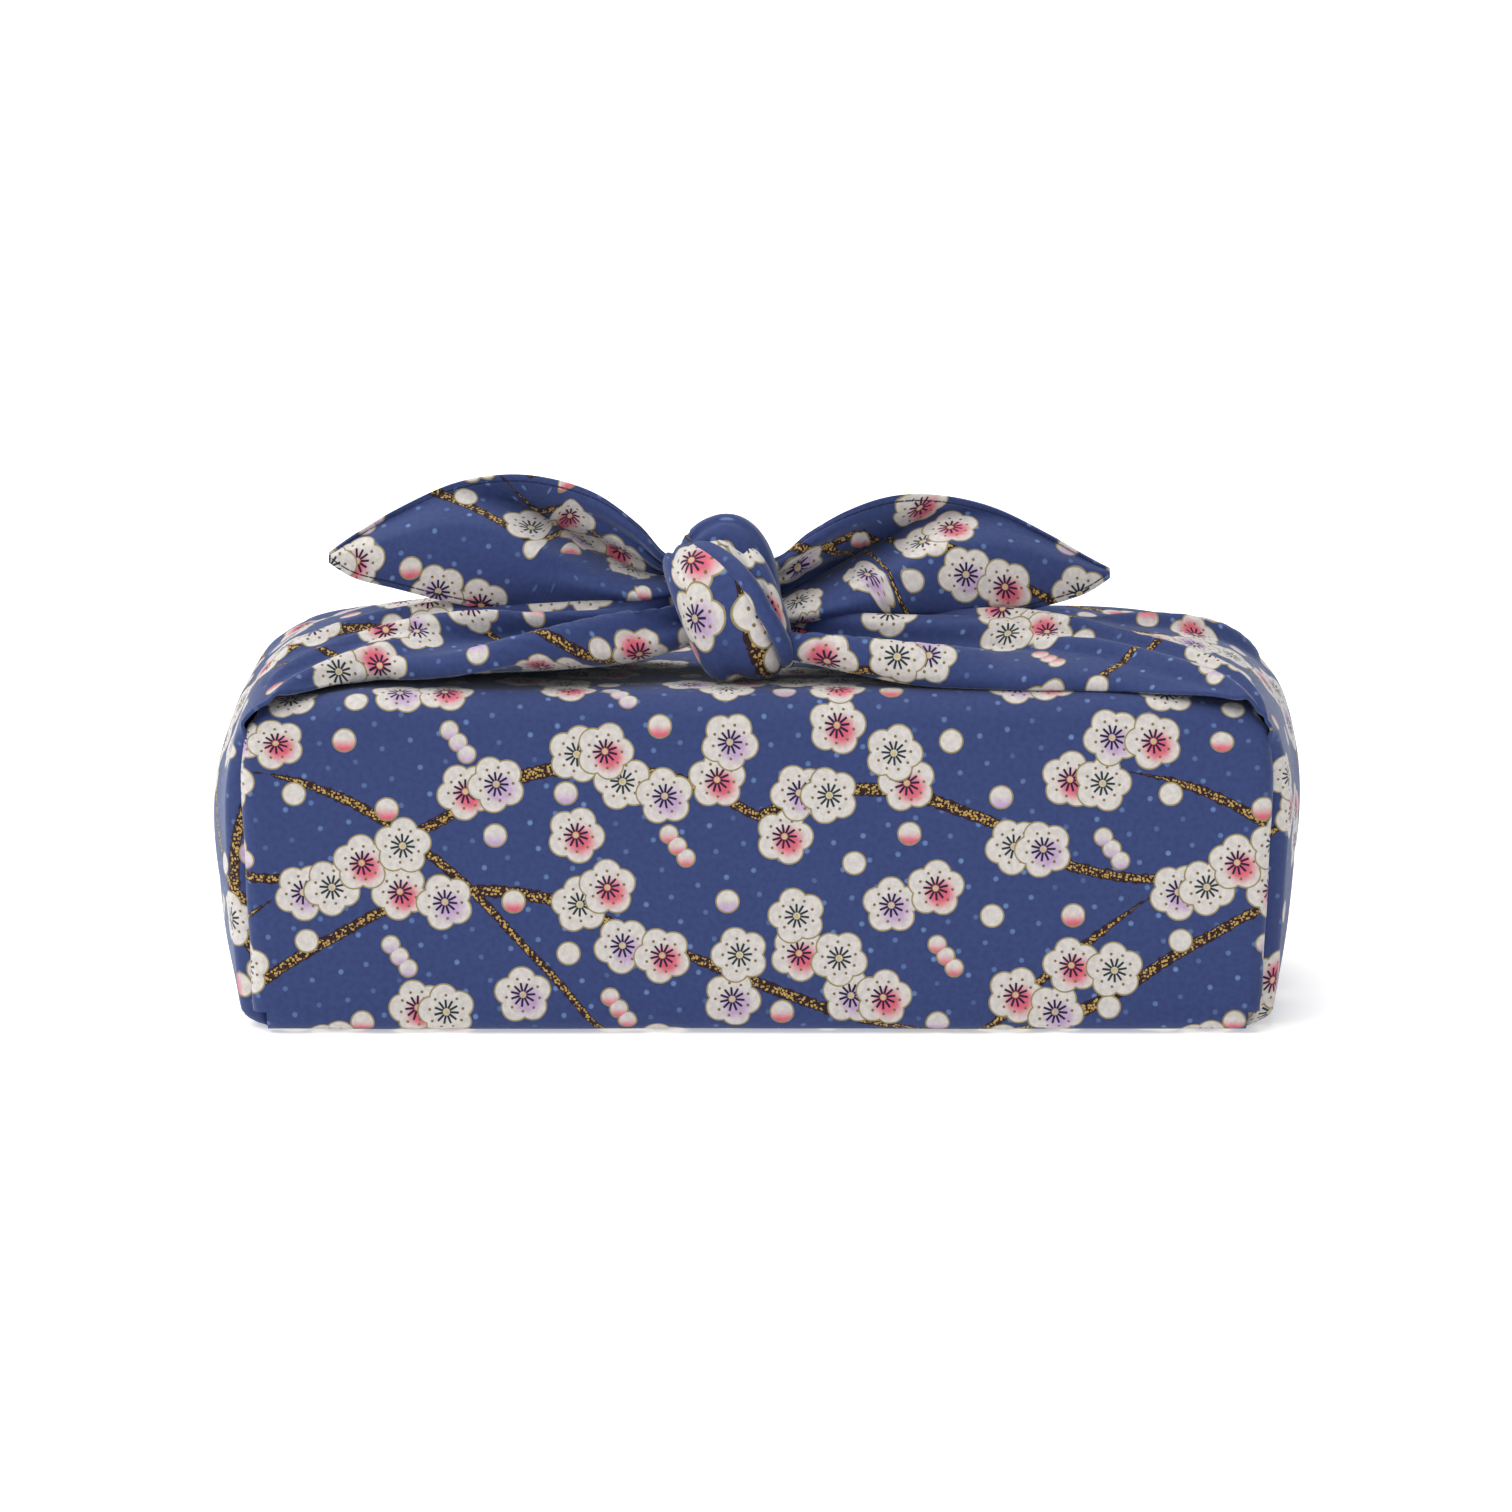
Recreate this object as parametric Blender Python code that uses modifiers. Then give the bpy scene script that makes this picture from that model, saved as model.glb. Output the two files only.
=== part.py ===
"""A furoshiki bag: one square cloth, wrapped cornerwise round a long low box and tied on top.

The cloth is one hollow sheet. A cross-shaped part of the square makes the base, the two flaps that
wrap round the box and the two ends, whose arms run over the top into the knot. The knot and the two
free ends, which stand up like ears, are joined to it. Metres, +Z up, the front faces -Y.
"""
import math
from collections import namedtuple

import bmesh
import bpy
from mathutils import Vector

# Sizes of the wrapped parcel, measured on the middle of the cloth's thickness.
CLOTH = 0.0015
WIDTH = 0.0865
TOP = 0.0640
FLOOR = CLOTH / 2
LAYER_STEP = 0.0024

# The flat base ends at this corner of the cross, where the flaps and the ends part.
BASE_HALF_LENGTH = 0.0915
BASE_HALF_WIDTH = 0.0380

# The rectangle it stands on, which the weight inside presses flat and a little below the rounded edges.
STANDING_HALF_LENGTH = 0.0890
STANDING_HALF_WIDTH = 0.0360
STANDING_STEP = 0.0004
PRESSED = 0.00002
TABLE_MARGIN = 0.0250
TABLE_DEPTH = 0.0050

# Rounded edges of the parcel.
BASE_EDGE_RADIUS = 0.0035
TOP_EDGE_RADIUS = 0.0070
UPRIGHT_EDGE_RADIUS = 0.0026
SIDE_TURN_IN = 0.0020
FRONT_BELLY = 0.0008

# The outer flap ends in a hem low on the back, the inner flap behind the front.
OUTER_HEM_HEIGHT = 0.0060
INNER_HEM_HEIGHT = 0.0400

# Steps of the sheet's grid.
BASE_COLUMNS = 12
BASE_ROWS = 14
STEPS_PER_SECTION = 2
FOOT_STEPS = 3
TURNED_COLUMNS = 4
OPEN_CORNER_ROWS = 4
SLOPE_STEP = 0.05

# Half the length of the wrapped flap at each height, out to its turned upright edge.
FlapEdge = namedtuple("FlapEdge", "height half_length")
FLAP_EDGES = (
    FlapEdge(0.000, 0.0941),
    FlapEdge(0.012, 0.0945),
    FlapEdge(0.030, 0.0953),
    FlapEdge(0.048, 0.0960),
    FlapEdge(0.058, 0.0952),
    FlapEdge(0.064, 0.0930),
)

# Sections of an end and its arm, from the foot of the end to the knot: three points of each section,
# at the front, in the middle and at the back.
Section = namedtuple("Section", "x_front x_middle x_back y_front y_back z_front z_middle z_back")
LEFT_END = (
    Section(0.0964, 0.0992, 0.0964, -0.0405, 0.0405, 0.0045, 0.0045, 0.0045),
    Section(0.0971, 0.1018, 0.0970, -0.0412, 0.0412, 0.0160, 0.0150, 0.0160),
    Section(0.0979, 0.1030, 0.0978, -0.0415, 0.0415, 0.0310, 0.0300, 0.0310),
    Section(0.0986, 0.1016, 0.0984, -0.0415, 0.0415, 0.0450, 0.0440, 0.0450),
    Section(0.0984, 0.0990, 0.0976, -0.0415, 0.0410, 0.0565, 0.0560, 0.0565),
    Section(0.0965, 0.0966, 0.0950, -0.0414, 0.0405, 0.0628, 0.0628, 0.0622),
    Section(0.0935, 0.0935, 0.0915, -0.0410, 0.0395, 0.0660, 0.0668, 0.0655),
    Section(0.0860, 0.0860, 0.0840, -0.0385, 0.0380, 0.0664, 0.0700, 0.0663),
    Section(0.0760, 0.0760, 0.0740, -0.0350, 0.0320, 0.0663, 0.0728, 0.0663),
    Section(0.0640, 0.0640, 0.0620, -0.0330, 0.0240, 0.0664, 0.0748, 0.0663),
    Section(0.0500, 0.0500, 0.0490, -0.0325, 0.0140, 0.0667, 0.0765, 0.0665),
    Section(0.0360, 0.0360, 0.0350, -0.0320, 0.0050, 0.0674, 0.0775, 0.0670),
    Section(0.0240, 0.0240, 0.0240, -0.0305, -0.0010, 0.0690, 0.0785, 0.0690),
    Section(0.0140, 0.0140, 0.0140, -0.0270, -0.0050, 0.0715, 0.0790, 0.0710),
    Section(0.0080, 0.0080, 0.0080, -0.0240, -0.0070, 0.0730, 0.0785, 0.0725),
)
RIGHT_END = (
    Section(0.0964, 0.0992, 0.0964, -0.0405, 0.0405, 0.0045, 0.0045, 0.0045),
    Section(0.0971, 0.1014, 0.0970, -0.0412, 0.0412, 0.0160, 0.0150, 0.0160),
    Section(0.0979, 0.1028, 0.0978, -0.0415, 0.0415, 0.0310, 0.0300, 0.0310),
    Section(0.0986, 0.1024, 0.0986, -0.0415, 0.0415, 0.0450, 0.0450, 0.0450),
    Section(0.0988, 0.1004, 0.0984, -0.0415, 0.0410, 0.0560, 0.0575, 0.0565),
    Section(0.0972, 0.0978, 0.0962, -0.0414, 0.0405, 0.0626, 0.0635, 0.0632),
    Section(0.0938, 0.0940, 0.0930, -0.0412, 0.0395, 0.0658, 0.0675, 0.0672),
    Section(0.0860, 0.0860, 0.0850, -0.0408, 0.0380, 0.0660, 0.0700, 0.0680),
    Section(0.0740, 0.0740, 0.0730, -0.0405, 0.0320, 0.0659, 0.0722, 0.0672),
    Section(0.0600, 0.0600, 0.0590, -0.0402, 0.0240, 0.0659, 0.0738, 0.0665),
    Section(0.0450, 0.0450, 0.0440, -0.0398, 0.0140, 0.0660, 0.0745, 0.0665),
    Section(0.0300, 0.0300, 0.0290, -0.0385, 0.0050, 0.0664, 0.0745, 0.0670),
    Section(0.0180, 0.0180, 0.0180, -0.0350, -0.0010, 0.0672, 0.0745, 0.0690),
    Section(0.0080, 0.0080, 0.0080, -0.0290, -0.0050, 0.0690, 0.0745, 0.0705),
    Section(0.0030, 0.0030, 0.0030, -0.0250, -0.0070, 0.0700, 0.0740, 0.0715),
)

# Folds across an end or arm: where each starts and stops, counted in sections, and how far across the
# cloth it lies there, from -1 at the front edge to 1 at the back. A negative depth is a raised ridge.
Fold = namedtuple("Fold", "first last across_first across_last depth half_width")
LEFT_FOLDS = (
    Fold(2.0, 5.5, -0.55, 0.30, 0.0012, 0.16),
    Fold(6.0, 10.5, -0.70, -0.20, 0.0014, 0.10),
    Fold(6.5, 11.0, -0.30, 0.05, 0.0012, 0.10),
    Fold(9.0, 14.0, -0.62, -0.30, 0.0024, 0.16),
    Fold(7.0, 13.0, 0.55, 0.45, 0.0014, 0.16),
)
RIGHT_FOLDS = (
    Fold(2.5, 6.0, -0.30, 0.35, 0.0010, 0.16),
    Fold(8.0, 14.0, -0.10, -0.15, 0.0018, 0.13),
    Fold(6.0, 12.0, -0.55, -0.60, 0.0014, 0.12),
    Fold(7.0, 13.0, 0.45, 0.40, 0.0014, 0.16),
)

# How quickly a fold deepens from its ends.
FOLD_FADE = 0.6

# Cross-sections of the two free ends, from inside the knot out to the tip.
EarRow = namedtuple("EarRow", "x z_low z_valley z_high y_low y_valley y_high")
LEFT_EAR = (
    EarRow(-0.0080, 0.0780, 0.0810, 0.0860, -0.0170, -0.0140, -0.0160),
    EarRow(-0.0165, 0.0782, 0.0812, 0.0866, -0.0190, -0.0130, -0.0180),
    EarRow(-0.0225, 0.0762, 0.0822, 0.0930, -0.0200, -0.0110, -0.0190),
    EarRow(-0.0300, 0.0762, 0.0852, 0.0985, -0.0200, -0.0090, -0.0180),
    EarRow(-0.0390, 0.0768, 0.0890, 0.1012, -0.0195, -0.0080, -0.0150),
    EarRow(-0.0480, 0.0765, 0.0912, 0.1016, -0.0185, -0.0085, -0.0120),
    EarRow(-0.0580, 0.0780, 0.0912, 0.0996, -0.0170, -0.0095, -0.0105),
    EarRow(-0.0680, 0.0803, 0.0890, 0.0950, -0.0155, -0.0110, -0.0110),
    EarRow(-0.0760, 0.0822, 0.0868, 0.0903, -0.0145, -0.0122, -0.0120),
    EarRow(-0.0810, 0.0850, 0.0858, 0.0867, -0.0135, -0.0130, -0.0130),
)
RIGHT_EAR = (
    EarRow(-0.0020, 0.0735, 0.0775, 0.0850, -0.0170, -0.0140, -0.0160),
    EarRow(0.0045, 0.0726, 0.0780, 0.0868, -0.0200, -0.0130, -0.0180),
    EarRow(0.0100, 0.0725, 0.0800, 0.0915, -0.0210, -0.0110, -0.0190),
    EarRow(0.0175, 0.0730, 0.0840, 0.0955, -0.0210, -0.0090, -0.0170),
    EarRow(0.0260, 0.0738, 0.0880, 0.0978, -0.0200, -0.0085, -0.0140),
    EarRow(0.0350, 0.0740, 0.0900, 0.0974, -0.0190, -0.0090, -0.0120),
    EarRow(0.0450, 0.0752, 0.0885, 0.0951, -0.0175, -0.0100, -0.0110),
    EarRow(0.0550, 0.0772, 0.0855, 0.0902, -0.0155, -0.0110, -0.0115),
    EarRow(0.0620, 0.0792, 0.0838, 0.0862, -0.0140, -0.0122, -0.0120),
    EarRow(0.0668, 0.0820, 0.0828, 0.0836, -0.0130, -0.0125, -0.0125),
)
EAR_COLUMNS = 8
EAR_HOLLOW = 0.85

# The knot: a band that comes down over the front, and the turn of cloth behind it.
Lump = namedtuple("Lump", "name centre half_sizes lean")
BAND = Lump("knot_band", (-0.0040, -0.0185, 0.0790), (0.0108, 0.0132, 0.0140), 12.0)
HUMP = Lump("knot_hump", (-0.0050, -0.0130, 0.0822), (0.0102, 0.0105, 0.0118), 30.0)
BAND_SEGMENTS = 24
BAND_RINGS = 16
# Creases of the front band, as planes through the lump: the plane's direction, its place, depth, width.
Crease = namedtuple("Crease", "direction place depth half_width")
BAND_CREASES = (
    Crease((0.94, -0.10, 0.34), 0.28, 0.10, 0.16),
    Crease((0.97, 0.0, -0.24), -0.55, 0.07, 0.15),
)


def remove_default_objects():
    for item in list(bpy.data.objects):
        bpy.data.objects.remove(item, do_unlink=True)


def new_collection(name):
    collection = bpy.data.collections.new(name)
    bpy.context.scene.collection.children.link(collection)
    return collection


def cotton_material(name):
    """Printed blue cotton."""
    material = bpy.data.materials.new(name)
    material.use_nodes = True
    shader = material.node_tree.nodes["Principled BSDF"]
    shader.inputs["Base Color"].default_value = (0.055, 0.085, 0.27, 1.0)
    shader.inputs["Roughness"].default_value = 0.85
    shader.inputs["Metallic"].default_value = 0.0
    return material


def object_from_bmesh(name, bm, collection, material):
    bmesh.ops.recalc_face_normals(bm, faces=bm.faces)
    mesh = bpy.data.meshes.new(name)
    bm.to_mesh(mesh)
    bm.free()
    if material:
        mesh.materials.append(material)
    mesh.shade_smooth()
    item = bpy.data.objects.new(name, mesh)
    collection.objects.link(item)
    return item


def smooth_row(rows, position):
    """The row of a table at a fractional row number, on a smooth curve through its rows."""
    last = len(rows) - 1
    position = min(max(position, 0.0), float(last))
    start = min(int(position), last - 1)
    f = position - start
    before = rows[max(start - 1, 0)]
    a = rows[start]
    b = rows[start + 1]
    after = rows[min(start + 2, last)]
    values = []
    for p0, p1, p2, p3 in zip(before, a, b, after):
        bend = (2 * p0 - 5 * p1 + 4 * p2 - p3) * f * f
        twist = (3 * p1 - p0 - 3 * p2 + p3) * f * f * f
        values.append(0.5 * (2 * p1 + (p2 - p0) * f + bend + twist))
    return type(rows[0])(*values)


def three_point_curve(front, middle, back, across):
    """A parabola through three values, at across = -1, 0 and 1."""
    lean = (back - front) / 2
    bend = (back + front) / 2 - middle
    return middle + lean * across + bend * across * across


def smooth_step(value):
    value = min(max(value, 0.0), 1.0)
    return value * value * (3 - 2 * value)


def flap_half_length(height):
    """Half the length of the wrapped flap at this height, to its upright edge."""
    for low, high in zip(FLAP_EDGES, FLAP_EDGES[1:]):
        if height <= high.height:
            share = smooth_step((height - low.height) / (high.height - low.height))
            return low.half_length + (high.half_length - low.half_length) * share
    return FLAP_EDGES[-1].half_length


def rounded_path(start, corners, end, straight_steps):
    """Points from start to end past rounded corners, each corner a (y, z, radius, steps)."""
    stops = [Vector(start)] + [Vector(corner[:2]) for corner in corners] + [Vector(end)]
    points = []
    run_start = stops[0]
    for number, (y, z, radius, steps) in enumerate(corners):
        corner = Vector((y, z))
        incoming = (corner - stops[number]).normalized()
        outgoing = (stops[number + 2] - corner).normalized()
        arc_start = corner - incoming * radius
        straight = straight_steps[number]
        points += [run_start.lerp(arc_start, step / straight) for step in range(straight)]
        for step in range(steps):
            angle = math.pi / 2 * step / steps
            points.append(arc_start + incoming * radius * math.sin(angle)
                          + outgoing * radius * (1 - math.cos(angle)))
        run_start = corner + outgoing * radius
    straight = straight_steps[-1]
    points += [run_start.lerp(stops[-1], step / straight) for step in range(straight + 1)]
    return points


def outer_flap_path():
    """Front, top and back of the parcel, as (y, z), from the base to the hem on the back."""
    half = WIDTH / 2
    corners = [
        (-half, FLOOR, BASE_EDGE_RADIUS, 3),
        (-half, TOP, TOP_EDGE_RADIUS, 4),
        (half, TOP, TOP_EDGE_RADIUS, 4),
    ]
    start = (-BASE_HALF_WIDTH, FLOOR)
    return rounded_path(start, corners, (half, OUTER_HEM_HEIGHT), (1, 4, 5, 4))


def inner_flap_path():
    """The layer under it: up the back, over the top and a little way down inside the front."""
    half = WIDTH / 2 - LAYER_STEP
    top = TOP - LAYER_STEP
    inner_radius = TOP_EDGE_RADIUS - LAYER_STEP
    corners = [
        (half, FLOOR, BASE_EDGE_RADIUS - 0.0012, 3),
        (half, top, inner_radius, 3),
        (-half, top, inner_radius, 3),
    ]
    start = (BASE_HALF_WIDTH, FLOOR)
    return rounded_path(start, corners, (-half, INNER_HEM_HEIGHT), (1, 3, 5, 2))


def path_inward(path, row):
    """The unit direction from a point of a path towards the inside of the parcel."""
    along = (path[min(row + 1, len(path) - 1)] - path[max(row - 1, 0)]).normalized()
    return Vector((along.y, -along.x)) if path[0].x < 0 else Vector((-along.y, along.x))


def flap_point(path, row, share, turned, sideways):
    """A point of a flap: share of the half length, then steps round its turned upright edge."""
    place = path[row]
    edge = flap_half_length(place.y)
    flat_edge = edge - UPRIGHT_EDGE_RADIUS
    inward = path_inward(path, row)
    x = flat_edge * share
    depth = 0.0
    if turned:
        turn = min(turned, TURNED_COLUMNS - 1) / (TURNED_COLUMNS - 1) * math.pi / 2
        x = flat_edge + UPRIGHT_EDGE_RADIUS * math.sin(turn)
        depth = UPRIGHT_EDGE_RADIUS * (1 - math.cos(turn))
        if turned == TURNED_COLUMNS:
            depth += SIDE_TURN_IN
    spot = place + inward * depth
    belly = FRONT_BELLY * math.cos(math.pi / 2 * share) * math.sin(math.pi * min(place.y / TOP, 1.0))
    return Vector((sideways * x, spot.x - inward.x * belly, spot.y))


def fold_depth(folds, position, across):
    """How far the folds press the cloth in at this place."""
    depth = 0.0
    for fold in folds:
        along = (position - fold.first) / (fold.last - fold.first)
        if 0.0 < along < 1.0:
            centre = fold.across_first + (fold.across_last - fold.across_first) * along
            fade = math.sin(math.pi * along) ** FOLD_FADE
            depth += fold.depth * fade * math.exp(-((across - centre) / fold.half_width) ** 2)
    return depth


def end_surface(rows, position, across, sideways):
    section = smooth_row(rows, position)
    x = three_point_curve(section.x_front, section.x_middle, section.x_back, across)
    z = three_point_curve(section.z_front, section.z_middle, section.z_back, across)
    y = section.y_front + (section.y_back - section.y_front) * (across + 1) / 2
    return Vector((sideways * x, y, z))


def end_point(rows, folds, position, across, sideways):
    """A point of an end or its arm, pressed in along its folds."""
    point = end_surface(rows, position, across, sideways)
    along = end_surface(rows, position + SLOPE_STEP, across, sideways)
    along -= end_surface(rows, position - SLOPE_STEP, across, sideways)
    over = end_surface(rows, position, across + SLOPE_STEP, sideways)
    over -= end_surface(rows, position, across - SLOPE_STEP, sideways)
    inward = over.cross(along).normalized() * sideways
    return point + inward * fold_depth(folds, position, across)


def foot_point(rows, step, v, sideways):
    """A point of the rounded edge between the base and an end."""
    across = v / BASE_HALF_WIDTH
    start = Vector((sideways * BASE_HALF_LENGTH, v, FLOOR))
    stop = end_surface(rows, 0.0, across, sideways)
    angle = math.pi / 2 * step / FOOT_STEPS
    x = start.x + (stop.x - start.x) * math.sin(angle)
    y = start.y + (stop.y - start.y) * math.sin(angle)
    z = start.z + (stop.z - start.z) * (1 - math.cos(angle))
    return Vector((x, y, z))


def build_wrap(collection, material):
    """The cross-shaped sheet: base, outer flap, inner flap and the two ends with their arms."""
    outer = outer_flap_path()
    inner = inner_flap_path()
    arm_steps = FOOT_STEPS + (len(LEFT_END) - 1) * STEPS_PER_SECTION
    outer_rows = len(outer) - 1
    inner_rows = len(inner) - 1
    columns = BASE_COLUMNS + 2 * arm_steps
    rows = outer_rows + BASE_ROWS + inner_rows

    bm = bmesh.new()
    bmesh.ops.create_grid(bm, x_segments=columns, y_segments=rows, size=1.0)

    def cell_kept(column, row):
        in_base_columns = arm_steps <= column < arm_steps + BASE_COLUMNS
        in_base_rows = outer_rows <= row < outer_rows + BASE_ROWS
        beside = min(abs(column + 0.5 - arm_steps), abs(column + 0.5 - arm_steps - BASE_COLUMNS))
        turned = beside < TURNED_COLUMNS and row < outer_rows - OPEN_CORNER_ROWS
        return in_base_columns or in_base_rows or turned

    spare = []
    for face in bm.faces:
        centre = face.calc_center_median()
        column = int((centre.x + 1) / 2 * columns)
        row = int((centre.y + 1) / 2 * rows)
        if not cell_kept(column, row):
            spare.append(face)
    bmesh.ops.delete(bm, geom=spare, context="FACES")

    for vertex in bm.verts:
        column = round((vertex.co.x + 1) / 2 * columns) - arm_steps
        row = round((vertex.co.y + 1) / 2 * rows) - outer_rows
        share = 2 * column / BASE_COLUMNS - 1
        v = (2 * row / BASE_ROWS - 1) * BASE_HALF_WIDTH
        sideways = -1 if share < 0 else 1
        past_base = max(-column, column - BASE_COLUMNS)
        if row < 0:
            vertex.co = flap_point(outer, -row, min(abs(share), 1.0), max(past_base, 0), sideways)
        elif row > BASE_ROWS:
            vertex.co = flap_point(inner, row - BASE_ROWS, abs(share), 0, sideways)
        elif past_base <= 0:
            vertex.co = Vector((share * BASE_HALF_LENGTH, v, FLOOR))
        else:
            sections = LEFT_END if sideways < 0 else RIGHT_END
            folds = LEFT_FOLDS if sideways < 0 else RIGHT_FOLDS
            if past_base <= FOOT_STEPS:
                vertex.co = foot_point(sections, past_base, v, sideways)
            else:
                position = (past_base - FOOT_STEPS) / STEPS_PER_SECTION
                vertex.co = end_point(sections, folds, position, v / BASE_HALF_WIDTH, sideways)

    wrap = object_from_bmesh("furoshiki_cloth", bm, collection, material)
    thicken(wrap)
    return wrap


def thicken(item):
    solidify = item.modifiers.new("thickness", "SOLIDIFY")
    solidify.thickness = CLOTH
    solidify.offset = 0.0


def build_ear(name, rows, collection, material):
    """A free end: a leaf-shaped sheet, hollowed along its valley and pointed at its tip."""
    steps = (len(rows) - 1) * STEPS_PER_SECTION
    bm = bmesh.new()
    bmesh.ops.create_grid(bm, x_segments=steps, y_segments=EAR_COLUMNS, size=1.0)
    for vertex in bm.verts:
        row = smooth_row(rows, (vertex.co.x + 1) / 2 * (len(rows) - 1))
        across = vertex.co.y
        z_middle = (row.z_low + row.z_high) / 2
        valley = (row.z_valley - z_middle) / (row.z_high - z_middle)
        z = three_point_curve(row.z_low, z_middle, row.z_high, across)
        near = 1 - min(abs(across - valley) / (1 - valley if across > valley else 1 + valley), 1.0)
        edge = row.y_high if across > valley else row.y_low
        y = edge + (row.y_valley - edge) * near ** EAR_HOLLOW
        vertex.co = Vector((row.x, y, z))
    ear = object_from_bmesh(name, bm, collection, material)
    thicken(ear)
    return ear


def build_lump(lump, creases, collection, material):
    """A rounded turn of the knot, pressed in along its creases."""
    bm = bmesh.new()
    bmesh.ops.create_uvsphere(bm, u_segments=BAND_SEGMENTS, v_segments=BAND_RINGS, radius=1.0)
    for vertex in bm.verts:
        unit = vertex.co.copy()
        size = 1.0
        for crease in creases:
            off = unit.dot(Vector(crease.direction).normalized()) - crease.place
            size -= crease.depth * math.exp(-(off / crease.half_width) ** 2)
        vertex.co = Vector([unit[axis] * size * lump.half_sizes[axis] for axis in range(3)])
    item = object_from_bmesh(lump.name, bm, collection, material)
    item.location = lump.centre
    item.rotation_euler = (0.0, math.radians(-lump.lean), 0.0)
    return item


def join_to(item, other):
    """One cloth: the other shape is joined to this one and leaves no wall between them."""
    union = item.modifiers.new("join_" + other.name, "BOOLEAN")
    union.operation = "UNION"
    union.solver = "EXACT"
    union.object = other
    other.display_type = "WIRE"
    other.hide_render = True


def build_table(collection):
    """What the underside is pressed on: a slab with a shallow recess where the bag stands."""
    bm = bmesh.new()
    bmesh.ops.create_cube(bm, size=2.0)
    for vertex in bm.verts:
        vertex.co.x *= STANDING_HALF_LENGTH + TABLE_MARGIN
        vertex.co.y *= STANDING_HALF_WIDTH + TABLE_MARGIN
        vertex.co.z = STANDING_STEP if vertex.co.z > 0 else -TABLE_DEPTH
    top = [face for face in bm.faces if face.normal.z > 0.5]
    bmesh.ops.inset_region(bm, faces=top, thickness=TABLE_MARGIN, use_even_offset=True)
    recess = bmesh.ops.extrude_discrete_faces(bm, faces=top)["faces"]
    for vertex in recess[0].verts:
        vertex.co.z = PRESSED
    return object_from_bmesh("table_below", bm, collection, None)


def press_flat(item, table):
    """The underside is cut flat against the table."""
    cut = item.modifiers.new("press_flat", "BOOLEAN")
    cut.operation = "DIFFERENCE"
    cut.solver = "EXACT"
    cut.object = table
    table.display_type = "WIRE"
    table.hide_render = True


def centre_on_base(item, helpers):
    """The origin lies under the middle of the whole bag, on the surface it stands on."""
    bpy.context.view_layer.update()
    shape = item.evaluated_get(bpy.context.evaluated_depsgraph_get()).to_mesh()
    lows = [min(vertex.co[axis] for vertex in shape.vertices) for axis in range(3)]
    highs = [max(vertex.co[axis] for vertex in shape.vertices) for axis in range(3)]
    shift = Vector((-(lows[0] + highs[0]) / 2, -(lows[1] + highs[1]) / 2, -lows[2]))
    for each in [item] + helpers:
        each.location += shift


remove_default_objects()
bag = new_collection("furoshiki_bag")
joined_shapes = new_collection("joined_shapes")
cutters = new_collection("cutters")
cotton = cotton_material("printed_cotton")
cloth = build_wrap(bag, cotton)
knot_and_ears = [
    build_lump(BAND, BAND_CREASES, joined_shapes, cotton),
    build_lump(HUMP, (), joined_shapes, cotton),
    build_ear("left_ear", LEFT_EAR, joined_shapes, cotton),
    build_ear("right_ear", RIGHT_EAR, joined_shapes, cotton),
]
for shape_to_join in knot_and_ears:
    join_to(cloth, shape_to_join)
table_below = build_table(cutters)
press_flat(cloth, table_below)
centre_on_base(cloth, knot_and_ears + [table_below])
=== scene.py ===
import math
from collections import namedtuple

import bmesh
import bpy
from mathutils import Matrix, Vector


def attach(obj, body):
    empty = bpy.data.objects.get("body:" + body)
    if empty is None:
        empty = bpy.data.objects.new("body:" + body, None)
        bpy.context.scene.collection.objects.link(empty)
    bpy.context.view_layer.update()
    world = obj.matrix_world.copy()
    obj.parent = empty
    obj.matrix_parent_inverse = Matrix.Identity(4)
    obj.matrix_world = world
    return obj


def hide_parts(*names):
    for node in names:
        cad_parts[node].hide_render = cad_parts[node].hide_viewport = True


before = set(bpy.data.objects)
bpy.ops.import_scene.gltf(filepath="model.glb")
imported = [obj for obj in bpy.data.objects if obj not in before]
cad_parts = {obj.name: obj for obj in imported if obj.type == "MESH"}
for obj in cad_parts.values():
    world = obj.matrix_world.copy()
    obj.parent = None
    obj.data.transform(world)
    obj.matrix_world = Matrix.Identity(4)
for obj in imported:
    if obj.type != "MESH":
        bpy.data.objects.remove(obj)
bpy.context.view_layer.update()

# The view: a long lens a little above the bag, as for a shop photograph, with a pale table
# under it, a white room round it and soft window light from the upper left.
CAMERA_LIFT = math.radians(9.5)
CAMERA_AWAY = 1.35
CAMERA_TARGET = Vector((-0.0002, 0.0, 0.0456))
CAMERA_LENS = 167.2
CAMERA_SENSOR = 36.0
CAMERA_NEAR = 0.05
CAMERA_FAR = 60.0

camera_data = bpy.data.cameras.new("shop_camera")
camera_data.lens = CAMERA_LENS
camera_data.sensor_width = CAMERA_SENSOR
camera_data.clip_start = CAMERA_NEAR
camera_data.clip_end = CAMERA_FAR
camera = bpy.data.objects.new("shop_camera", camera_data)
towards = Vector((0.0, math.cos(CAMERA_LIFT), -math.sin(CAMERA_LIFT)))
camera.location = CAMERA_TARGET - towards * CAMERA_AWAY
camera.rotation_euler = (math.pi / 2 - CAMERA_LIFT, 0.0, 0.0)
bpy.context.scene.collection.objects.link(camera)
bpy.context.scene.camera = camera

bpy.context.scene.view_settings.view_transform = "Standard"

TABLE_SIZE = 12.0
TABLE_WHITE = (0.93, 0.93, 0.93, 1.0)
TABLE_ROUGHNESS = 0.9
TABLE_GLOW = 0.44
PURE_WHITE = (1.0, 1.0, 1.0, 1.0)

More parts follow.
